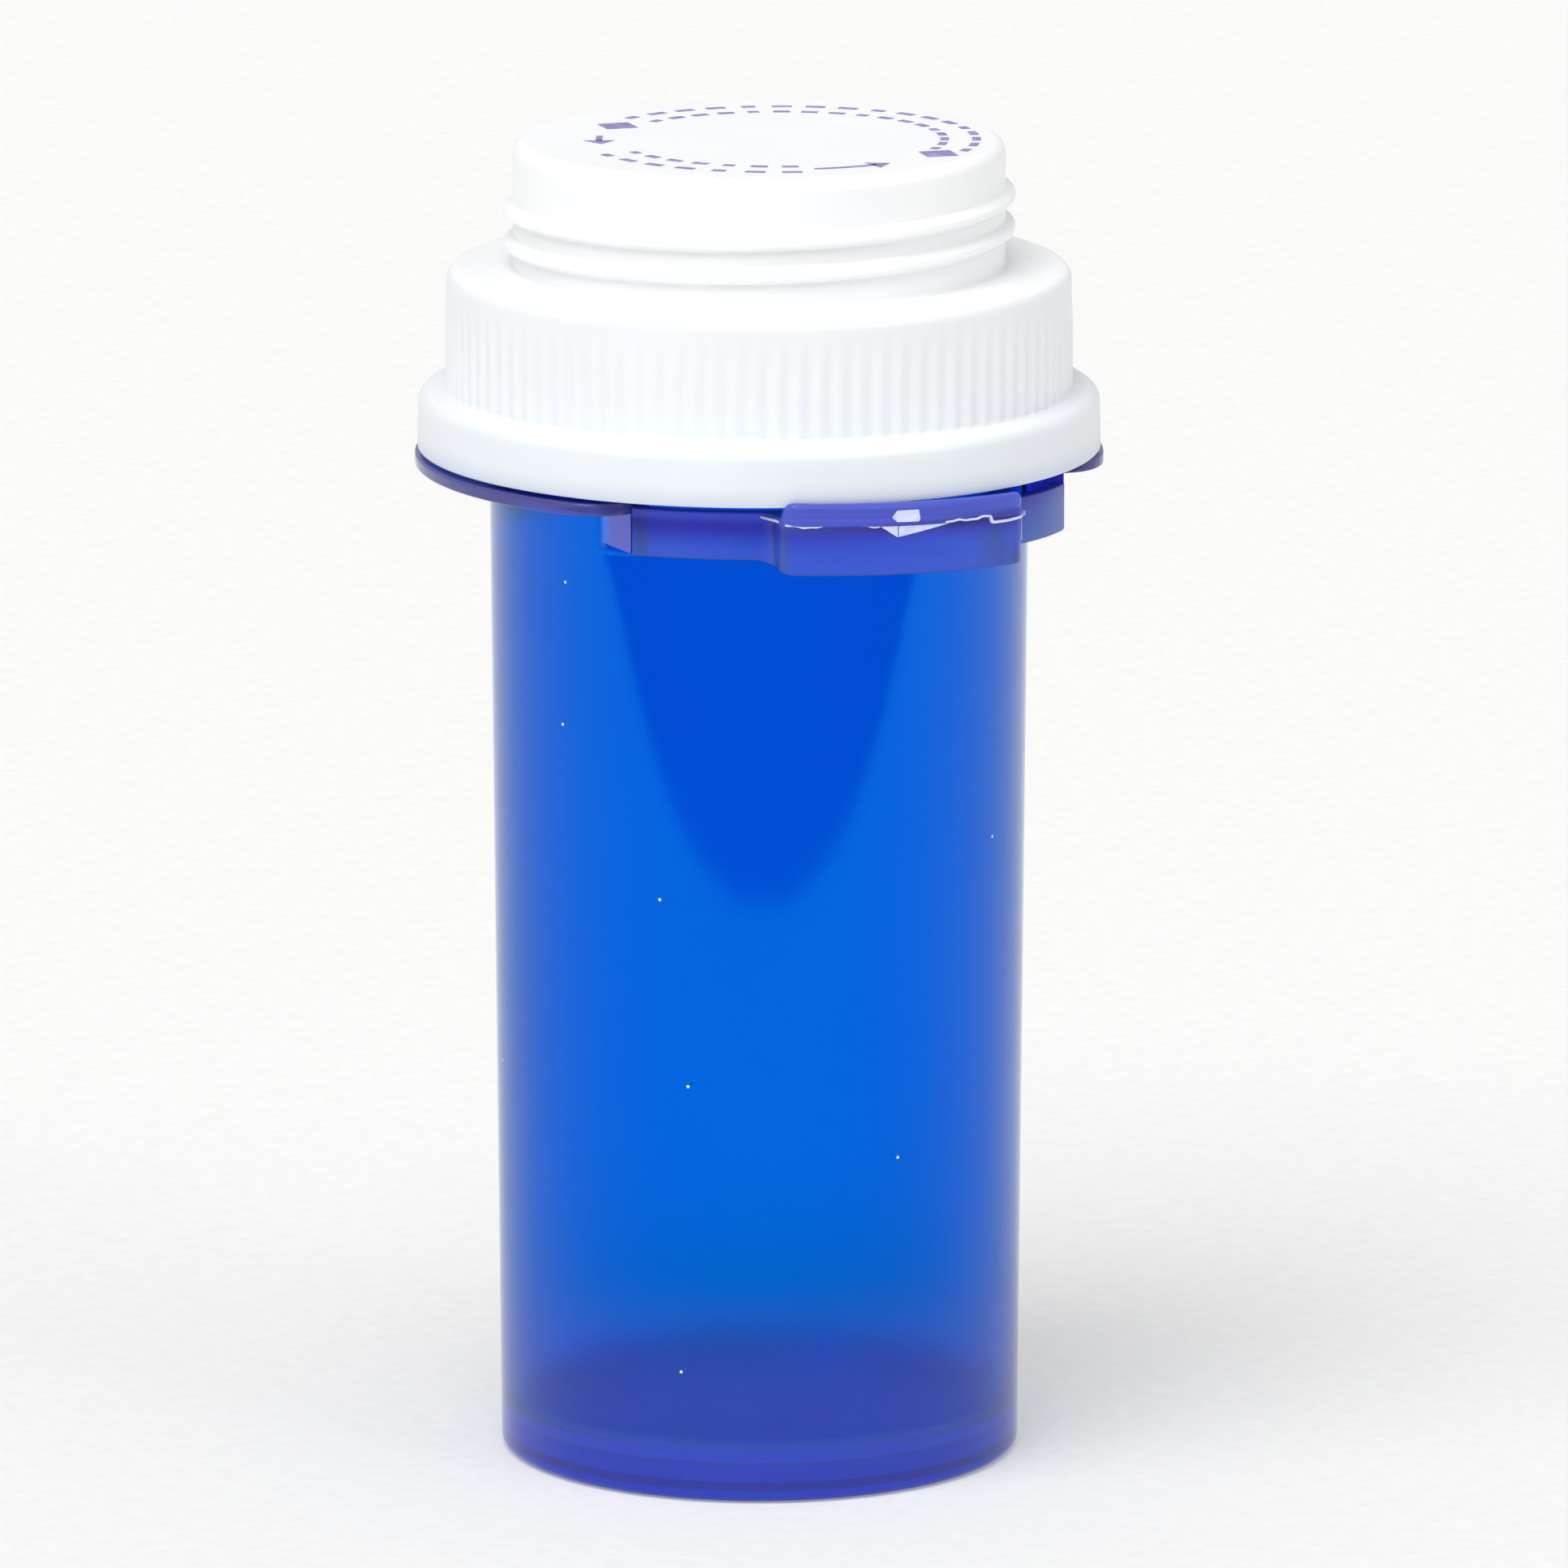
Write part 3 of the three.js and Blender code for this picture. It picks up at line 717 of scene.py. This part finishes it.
def arrow(tail, point):
    """An arrow's shaft and its head, from one azimuth to another."""
    shaft = ring_piece(PRINT_MIDDLE - SHAFT_HALF, PRINT_MIDDLE + SHAFT_HALF, tail, point - SHAFT_END, 8)
    barbs = [around(PRINT_MIDDLE + side, point - BARB_LENGTH) for side in (-BARB_HALF, BARB_HALF)]
    return [shaft, [barbs[0], around(PRINT_MIDDLE, point), barbs[1]]]


def print_outlines():
    """A ring of generic marks: short dashes, two diamonds and two arrows that show the way to turn."""
    marks = []
    for start, stop, count in PRINT_RUNS:
        for i in range(count):
            marks += dash_pair(start + (stop - start) * i / (count - 1), LONG_DASH if i % 4 else SHORT_DASH)
    for at in PRINT_DIAMONDS:
        marks += diamond(at)
    for tail, point in PRINT_ARROWS:
        marks += arrow(tail, point)
    aside, forward = PRINT_OFF_CENTRE
    return [[(x + aside, y + forward) for x, y in outline] for outline in marks]


# ---- Materials ----

PLASTIC_IOR = 1.49
ABSORPTION = (0.02, 0.64, 0.955)
ABSORPTION_DENSITY = 1300.0

# Heights in metres: each pair is where a look starts to change on the way up, and where it has changed.
RING_START = (0.0006, 0.0009)
RING_END = (0.0012, 0.0015)
FLOOR_END = (0.0024, 0.0027)
BAND_END = (0.0024, 0.0028)
FOOT_HAZE_END = (0.0026, 0.0044)
FOOT_TINT_END = (0.0030, 0.0046)
FOOT_GLOSS_END = (0.0060, 0.0155)
TAB_UPPER_START = (0.0628, 0.0645)
BEAD_START = (0.0646, 0.0651)
COLLAR_END = (0.0659, 0.0660)
RIM_LOW_END = (0.0660, 0.0676)
RIM_END = (0.0690, 0.0702)
SIDE_END = (0.0774, 0.0777)
GRIME_START = (0.0775, 0.0777)
GRIME_END = (0.0835, 0.0837)

# Radii in metres that tell the surfaces of the vial apart.
FLOOR_REACH = 0.0154
OUTER_SKIN = 0.0160
GLOSSY_SKIN = 0.0163
COLLAR_REACH = 0.0178

# Tints of the blue plastic's gloss. Above 1 they brighten what it reflects.
PALE_BLUE = (0.02, 1.6, 2.3)  # on the smooth tube
FOOT_GLOSS = (1.0, 1.5, 3.8)
LILAC = (0.9, 0.8, 1.0)  # on the latch and the flange

# Colours that it scatters.
DEEP_BLUE = (0.15, 0.23, 1.0)  # low on the latch
PURPLE = (0.10, 0.06, 0.66)  # higher on the latch
BEAD_BLUE = (0.17, 0.17, 0.95)
COLLAR_BLUE = (0.17, 0.18, 0.64)  # on the flange and the arms' roots
FOOT_BLUE = (0.05, 0.10, 0.95)
BAND_BLUE = (0.02, 0.04, 0.78)  # round the foot, level with the floor
RING_BLUE = (0.03, 0.01, 0.34)  # the dark line just above the foot's lowest edge
FLOOR_BLUE = (0.13, 0.06, 0.95)  # the floor, inside

# How much of the light each of them scatters.
FOOT_HAZE = 0.33
BAND_HAZE = 0.42
FLOOR_HAZE = 0.45
COLLAR_HAZE = 0.33
LATCH_HAZE = 0.33
BEAD_HAZE = 0.12  # more than the rest of the latch

BLUE_DUST = (0.85, 0.88, 0.92)
GRIME = (0.45, 0.45, 0.44)
PAINTED_SIDE_SHADE = (0.92, 0.935, 0.955)  # painted shade on the white cap's sides, against its top
# Painted shade on the cap's rim, a step darker again.
PAINTED_RIM_SHADE = (0.865, 0.89, 0.92)
# Painted shade and painted blue light on the rim's lower edge, from the blue flange below.
PAINTED_BLUE_RIM_SHADE = (0.70, 0.75, 0.835)


def material(name):
    """A new material, its nodes, its shader and its output."""
    made = bpy.data.materials.new(name)
    made.use_nodes = True
    tree = made.node_tree
    tree.nodes.clear()
    out = tree.nodes.new("ShaderNodeOutputMaterial")
    shader = tree.nodes.new("ShaderNodeBsdfPrincipled")
    tree.links.new(shader.outputs["BSDF"], out.inputs["Surface"])
    return made, tree, shader, out


def feed(tree, socket, value):
    """Sets a socket to a number or a colour, or links another node's output to it."""
    if isinstance(value, tuple):
        socket.default_value = (*value, 1.0)
    elif isinstance(value, float):
        socket.default_value = value
    else:
        tree.links.new(value, socket)


def maths(tree, operation, first, second):
    made = tree.nodes.new("ShaderNodeMath")
    made.operation = operation
    for socket, value in zip(made.inputs, (first, second)):
        feed(tree, socket, value)
    return made.outputs["Value"]


def both(tree, first, second):
    """The product of two values."""
    return maths(tree, "MULTIPLY", first, second)


def without(tree, value):
    """1 less a value."""
    return maths(tree, "SUBTRACT", 1.0, value)


def mixed(tree, share, first, second, blend="MIX"):
    """The colour first where share is 0 and second where it is 1."""
    made = tree.nodes.new("ShaderNodeMix")
    made.data_type = "RGBA"
    made.blend_type = blend
    for name, value in (("Factor", share), ("A", first), ("B", second)):
        feed(tree, next(s for s in made.inputs if s.name == name and s.enabled), value)
    return next(s for s in made.outputs if s.enabled)


def multiplied(tree, first, second):
    return mixed(tree, 1.0, first, second, "MULTIPLY")


def mixed_value(tree, share, first, second):
    """The number first where share is 0 and second where it is 1."""
    made = tree.nodes.new("ShaderNodeMix")
    for name, value in (("Factor", share), ("A", first), ("B", second)):
        feed(tree, next(s for s in made.inputs if s.name == name and s.enabled), value)
    return next(s for s in made.outputs if s.enabled)


def spread(tree, source, low, high):
    """Maps a 0 to 1 value to low to high."""
    made = tree.nodes.new("ShaderNodeMapRange")
    made.inputs["To Min"].default_value = low
    made.inputs["To Max"].default_value = high
    tree.links.new(source, made.inputs["Value"])
    return made.outputs["Result"]


def risen(tree, source, low, high, interpolation="LINEAR"):
    """Goes from 0 to 1 as a value goes from low to high."""
    made = tree.nodes.new("ShaderNodeMapRange")
    made.interpolation_type = interpolation
    made.inputs["From Min"].default_value = low
    made.inputs["From Max"].default_value = high
    tree.links.new(source, made.inputs["Value"])
    return made.outputs["Result"]


def place(tree):
    """The place on the object, as a vector in metres."""
    return tree.nodes.new("ShaderNodeTexCoord").outputs["Object"]


def place_parts(tree):
    """The place on the object, as three values in metres."""
    split = tree.nodes.new("ShaderNodeSeparateXYZ")
    tree.links.new(place(tree), split.inputs["Vector"])
    return split.outputs


def above(tree, low, high):
    """0 below the height low, 1 above high."""
    return risen(tree, place_parts(tree)["Z"], low, high, "SMOOTHSTEP")


def below(tree, low, high):
    """1 below the height low, 0 above high."""
    return without(tree, above(tree, low, high))


def outward(tree, radius, edge=0.0003):
    """1 on surfaces further than radius from the Z axis, 0 nearer."""
    flat = tree.nodes.new("ShaderNodeVectorMath")
    flat.operation = "MULTIPLY"
    flat.inputs[1].default_value = (1.0, 1.0, 0.0)
    tree.links.new(place(tree), flat.inputs[0])
    far = tree.nodes.new("ShaderNodeVectorMath")
    far.operation = "LENGTH"
    tree.links.new(flat.outputs["Vector"], far.inputs[0])
    return risen(tree, far.outputs["Value"], radius - edge, radius + edge)


def unrolled(tree, radius):
    """The surface of a tube laid flat: the way round it and the height, in metres, as one vector."""
    parts = place_parts(tree)
    turn = maths(tree, "ARCTAN2", parts["X"], parts["Y"])
    flat = tree.nodes.new("ShaderNodeCombineXYZ")
    tree.links.new(both(tree, turn, radius), flat.inputs["X"])
    tree.links.new(parts["Z"], flat.inputs["Y"])
    return flat.outputs["Vector"]


def noise(tree, scale, detail, roughness=0.5):
    """Soft noise from 0 to 1. The scale is per metre."""
    made = tree.nodes.new("ShaderNodeTexNoise")
    made.inputs["Scale"].default_value = scale
    made.inputs["Detail"].default_value = detail
    made.inputs["Roughness"].default_value = roughness
    tree.links.new(place(tree), made.inputs["Vector"])
    return made.outputs["Fac"]


def specks(tree, radius, scale, size, share):
    """1 on small specks over a tube of about this radius, 0 elsewhere. There are up to scale of them to a
    metre, share of the places for one have one, and size is a speck's radius in metres."""
    cells = tree.nodes.new("ShaderNodeTexVoronoi")
    cells.voronoi_dimensions = "2D"
    cells.inputs["Scale"].default_value = scale
    tree.links.new(unrolled(tree, radius), cells.inputs["Vector"])
    near = maths(tree, "LESS_THAN", cells.outputs["Distance"], size * scale)
    split = tree.nodes.new("ShaderNodeSeparateColor")
    tree.links.new(cells.outputs["Color"], split.inputs["Color"])
    return both(tree, near, maths(tree, "LESS_THAN", split.outputs["Red"], share))


def ramp(tree, source, *stops):
    """A colour ramp between two (value, colour) stops."""
    made = tree.nodes.new("ShaderNodeValToRGB")
    for element, (value, colour) in zip(made.color_ramp.elements, stops):
        element.position = value
        element.color = (*colour, 1.0)
    tree.links.new(source, made.inputs["Fac"])
    return made.outputs["Color"]


def bump(tree, shader, source, strength, distance):
    """Raises the surface by source, at most by distance in metres."""
    made = tree.nodes.new("ShaderNodeBump")
    made.inputs["Strength"].default_value = strength
    made.inputs["Distance"].default_value = distance
    tree.links.new(source, made.inputs["Height"])
    tree.links.new(made.outputs["Normal"], shader.inputs["Normal"])


def blue_shell(tree, shader, out, share, tint, scattered, gloss, dust, dull=0.05):
    """Cobalt polypropylene, which tints by the depth that light crosses. Its surface has the colour tint
    where share is 1, and scatters the part scattered of the light. gloss is the tint of its reflections,
    dust is 1 on specks of dust, and dull is the least roughness of its outside."""
    clear = ramp(tree, noise(tree, 90.0, 4.0), (0.3, (0.13, 0.56, 0.99)), (0.7, (0.16, 0.60, 1.0)))
    grain = ramp(tree, noise(tree, 4500.0, 2.0), (0.35, (0.88, 0.93, 0.98)), (0.65, (1.0, 1.0, 1.0)))
    colour = mixed(tree, share, multiplied(tree, clear, grain), tint)
    tree.links.new(mixed(tree, dust, colour, BLUE_DUST), shader.inputs["Base Color"])
    clearness = without(tree, maths(tree, "MAXIMUM", scattered, dust))
    tree.links.new(clearness, shader.inputs["Transmission Weight"])
    feed(tree, shader.inputs["Specular Tint"], gloss)
    shader.inputs["IOR"].default_value = PLASTIC_IOR
    fine = noise(tree, 900.0, 3.0)
    outside = spread(tree, fine, dull, dull * 1.6)
    inside = spread(tree, fine, 0.18, 0.30)
    rough = mixed_value(tree, outward(tree, GLOSSY_SKIN), inside, outside)
    tree.links.new(rough, shader.inputs["Roughness"])
    absorb = tree.nodes.new("ShaderNodeVolumeAbsorption")
    absorb.inputs["Color"].default_value = (*ABSORPTION, 1.0)
    absorb.inputs["Density"].default_value = ABSORPTION_DENSITY
    tree.links.new(absorb.outputs["Volume"], out.inputs["Volume"])


def vial_plastic():
    """The tube is clear and smooth; its foot, the flange and the arms' roots are duller and more purple."""
    made, tree, shader, out = material("vial_plastic")
    skin = outward(tree, OUTER_SKIN)
    foot = both(tree, skin, below(tree, *FOOT_HAZE_END))
    foot_tint = both(tree, skin, below(tree, *FOOT_TINT_END))
    band = both(tree, skin, below(tree, *BAND_END))
    ring = both(tree, both(tree, skin, below(tree, *RING_END)), above(tree, *RING_START))
    inside = both(tree, below(tree, *FLOOR_END), without(tree, outward(tree, FLOOR_REACH)))
    collar = both(tree, outward(tree, COLLAR_REACH, 0.0002), below(tree, *COLLAR_END))
    share = maths(tree, "MAXIMUM", foot_tint, maths(tree, "MAXIMUM", inside, collar))
    tint, scattered = FOOT_BLUE, both(tree, foot, FOOT_HAZE)
    for zone, colour, haze in ((band, BAND_BLUE, BAND_HAZE), (ring, RING_BLUE, BAND_HAZE),
                               (inside, FLOOR_BLUE, FLOOR_HAZE), (collar, COLLAR_BLUE, COLLAR_HAZE)):
        tint = mixed(tree, zone, tint, colour)
        scattered = maths(tree, "MAXIMUM", scattered, both(tree, zone, haze))
    tube_gloss = mixed(tree, below(tree, *FOOT_GLOSS_END), PALE_BLUE, FOOT_GLOSS)
    gloss = mixed(tree, collar, tube_gloss, LILAC)
    dust = specks(tree, radius=0.017, scale=120.0, size=0.0001, share=0.30)
    blue_shell(tree, shader, out, share, tint, scattered, gloss, dust)
    return made


def latch_plastic():
    """The latch is duller than the tube, purple above and bluer below."""
    made, tree, shader, out = material("latch_plastic")
    streaks = spread(tree, noise(tree, 260.0, 5.0, 0.6), 0.40, 0.70)
    upper = above(tree, *TAB_UPPER_START)
    bead = above(tree, *BEAD_START)
    share = maths(tree, "ADD", streaks, both(tree, upper, 0.3))
    tint = mixed(tree, bead, mixed(tree, upper, DEEP_BLUE, PURPLE), BEAD_BLUE)
    scattered = both(tree, share, maths(tree, "ADD", LATCH_HAZE, both(tree, bead, BEAD_HAZE)))
    dust = specks(tree, radius=0.022, scale=300.0, size=0.00008, share=0.06)
    blue_shell(tree, shader, out, share, tint, scattered, LILAC, dust, dull=0.24)
    shader.inputs["Specular IOR Level"].default_value = 0.1
    return made


def painted_highlight_plastic():
    """Pale blue plastic that paints highlights on the tab and along its flash."""
    made, tree, shader, _ = material("painted_highlight_plastic")
    cloud = noise(tree, 1500.0, 4.0)
    colour = ramp(tree, cloud, (0.3, (0.60, 0.61, 0.90)), (0.7, (0.75, 0.77, 0.97)))
    tree.links.new(colour, shader.inputs["Base Color"])
    shader.inputs["Roughness"].default_value = 0.45
    shader.inputs["Subsurface Weight"].default_value = 0.3
    shader.inputs["Subsurface Scale"].default_value = 0.0003
    bump(tree, shader, cloud, strength=0.3, distance=0.00003)
    return made


def white_plastic():
    """White polypropylene, with painted shade a step darker on its sides and again on its rim, and painted
    bluish light at the rim's lower edge, from the blue flange. A little grime lies round its boss."""
    made, tree, shader, _ = material("cap_plastic")
    colour = ramp(tree, noise(tree, 120.0, 4.0), (0.3, (0.875, 0.89, 0.90)), (0.7, (0.905, 0.92, 0.93)))
    white = colour
    # Painted shade down the sides and the rim, and painted blue light at the rim's lower edge.
    for zone, shade in ((SIDE_END, PAINTED_SIDE_SHADE), (RIM_END, PAINTED_RIM_SHADE), (RIM_LOW_END, PAINTED_BLUE_RIM_SHADE)):
        colour = mixed(tree, below(tree, *zone), colour, multiplied(tree, white, shade))
    grime = specks(tree, radius=0.0162, scale=170.0, size=0.00016, share=0.05)
    on_boss = both(tree, both(tree, grime, above(tree, *GRIME_START)), below(tree, *GRIME_END))
    tree.links.new(mixed(tree, on_boss, colour, GRIME), shader.inputs["Base Color"])
    shader.inputs["Subsurface Weight"].default_value = 0.25
    shader.inputs["Subsurface Radius"].default_value = (1.0, 1.0, 1.0)
    shader.inputs["Subsurface Scale"].default_value = 0.0006
    shader.inputs["IOR"].default_value = PLASTIC_IOR
    fine = noise(tree, 1400.0, 4.0)
    tree.links.new(spread(tree, fine, 0.30, 0.42), shader.inputs["Roughness"])
    bump(tree, shader, fine, strength=0.15, distance=0.00002)
    return made


def foam():
    made, tree, shader, _ = material("liner_foam")
    cells = noise(tree, 2500.0, 5.0)
    colour = ramp(tree, cells, (0.3, (0.78, 0.79, 0.79)), (0.7, (0.88, 0.89, 0.89)))
    tree.links.new(colour, shader.inputs["Base Color"])
    shader.inputs["Roughness"].default_value = 0.85
    bump(tree, shader, cells, strength=0.5, distance=0.00005)
    return made


def ink():
    made, tree, shader, _ = material("print_ink")
    colour = ramp(tree, noise(tree, 1200.0, 4.0), (0.35, (0.21, 0.17, 0.43)), (0.7, (0.33, 0.29, 0.56)))
    tree.links.new(colour, shader.inputs["Base Color"])
    shader.inputs["Roughness"].default_value = 0.5
    return made


def paper():
    """The floor's pale paper. It glows slightly, which keeps its shadows pale."""
    made, tree, shader, _ = material("floor_paper")
    grain = noise(tree, 700.0, 6.0, 0.6)
    colour = ramp(tree, grain, (0.3, (0.575, 0.575, 0.57)), (0.7, (0.615, 0.615, 0.61)))
    tree.links.new(colour, shader.inputs["Base Color"])
    shader.inputs["Roughness"].default_value = 0.9
    shader.inputs["Specular IOR Level"].default_value = 0.1
    shader.inputs["Emission Color"].default_value = (1.0, 1.0, 0.99, 1.0)
    shader.inputs["Emission Strength"].default_value = 0.25
    bump(tree, shader, grain, strength=0.3, distance=0.0002)
    return made


def dark():
    made, _, shader, _ = material("dark_room")
    shader.inputs["Base Color"].default_value = (0.01, 0.01, 0.012, 1.0)
    shader.inputs["Roughness"].default_value = 1.0
    shader.inputs["Specular IOR Level"].default_value = 0.0
    return made


# ---- The object ----


def finish_piece(made, look, body=None, nodes=()):
    """Gives a piece its material and its body, and hides the CAD nodes that it stands for."""
    made.data.materials.append(look)
    if body:
        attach(made, body)
    if nodes:
        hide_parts(*nodes)


vial = turned("vial", vial_profile(), vial_radius)
finish_piece(vial, vial_plastic(), "vial", ["vial_body"])

latch = spring_latch()
latch_look = latch_plastic()
finish_piece(latch, latch_look, None, ["spring_arm_left", "spring_arm_right", "press_tab"])
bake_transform(latch)

# The tab's flash and the pale pieces that paint highlights on it.
finish_piece(tab_flash_and_highlights(), painted_highlight_plastic(), "latch")
finish_piece(pawl(), latch_look, "latch", ["latch_pawl"])

cap = turned("cap", cap_profile(), cap_radius)
finish_piece(cap, white_plastic(), "cap", ["reversible_cap"])

liner = turned("liner", liner_profile(), columns=LINER_COLUMNS)
finish_piece(liner, foam(), "liner", ["seal_liner"])

finish_piece(prism("cap_print", print_outlines(), CAP_TOP - PRINT_HEIGHT, CAP_TOP), ink(), "cap")

# ---- The stage ----

CAMERA_AZIMUTH = -26.3  # the tab faces to the right of the camera
CAMERA_AWAY = 0.922
CAMERA_UP = 0.242
CAMERA_ASIDE = 0.00160
CAMERA_PITCH = 12.142
LENS = 334.4
FLOOR_FRONT = 0.180  # how far the pale floor reaches towards the camera
FLOOR_CURVE = 0.785  # its front edge is bowed
FLOOR_ASIDE = -0.0166
FLOOR_HALF = 0.32
AIM_UP = 0.05


def towards_camera(forward, aside=0.0, up=0.0):
    """A place measured from the vial's foot towards the camera and to its right."""
    x, y = around(forward, CAMERA_AZIMUTH)
    right_x, right_y = around(aside, CAMERA_AZIMUTH + 90.0)
    return (float(x + right_x), float(y + right_y), up)


def plate(name, outline, up, look):
    """A flat plate whose corners are given as (towards the camera, aside)."""
    corners = [towards_camera(forward, aside, up) for forward, aside in outline]
    mesh = bpy.data.meshes.new(name)
    mesh.from_pydata(corners, [], [list(range(len(corners)))])
    mesh.materials.append(look)
    made = added(name, mesh)
    return made


def softbox(name, azimuth, away, up, size, power):
    """A rectangular light that shines at the middle of the vial."""
    light = bpy.data.lights.new(name, "AREA")
    light.shape = "RECTANGLE"
    light.size, light.size_y = size
    light.energy = power
    made = added(name, light)
    x, y = around(away, CAMERA_AZIMUTH + azimuth)
    made.location = (float(x), float(y), up)
    aim = Vector((0, 0, AIM_UP)) - made.location
    made.rotation_euler = aim.to_track_quat("-Z", "Y").to_euler()


def sun(name, azimuth, elevation, width, strength):
    """A distant light as wide as a softbox looks, at an azimuth measured from the camera's."""
    light = bpy.data.lights.new(name, "SUN")
    light.angle = math.radians(width)
    light.energy = strength
    made = added(name, light)
    made.rotation_euler = (math.radians(90.0 - elevation), 0.0, math.radians(CAMERA_AZIMUTH + azimuth))


plate("floor", [(-3.0, -3.0), (-3.0, 3.0), (3.0, 3.0), (3.0, -3.0)], -0.0001, paper())
edge = [(FLOOR_FRONT - FLOOR_CURVE * (aside - FLOOR_ASIDE) ** 2, aside)
        for aside in np.linspace(-FLOOR_HALF, FLOOR_HALF, 41)]
room = plate("room_beyond", [*edge, (2.9, 2.4), (2.9, -2.4)], 0.0002, dark())
for ray in ("camera", "diffuse", "transmission", "volume_scatter", "shadow"):
    setattr(room, f"visible_{ray}", False)  # so only reflections see it

sun("key", azimuth=-25.0, elevation=58.0, width=45.0, strength=1.8)
sun("second", azimuth=-50.0, elevation=40.0, width=45.0, strength=0.35)
sun("third", azimuth=55.0, elevation=40.0, width=45.0, strength=0.35)
softbox("fill", azimuth=48.0, away=1.1, up=0.9, size=(0.17, 0.2), power=0.8)

world = bpy.data.worlds.new("studio")
bpy.context.scene.world = world
world.use_nodes = True
background = world.node_tree.nodes["Background"]
background.inputs["Color"].default_value = (1.0, 1.0, 1.0, 1.0)
background.inputs["Strength"].default_value = 0.55

camera_data = bpy.data.cameras.new("camera")
camera_data.sensor_fit = "HORIZONTAL"
camera_data.sensor_width = 36.0
camera_data.lens = LENS
camera_data.clip_start = 0.01
camera_data.clip_end = 20.0
camera = added("camera", camera_data)
camera.location = towards_camera(CAMERA_AWAY, CAMERA_ASIDE, CAMERA_UP)
camera.rotation_euler = (math.radians(90.0 - CAMERA_PITCH), 0.0, math.radians(CAMERA_AZIMUTH))
bpy.context.scene.camera = camera

bpy.context.scene.view_settings.view_transform = "Standard"
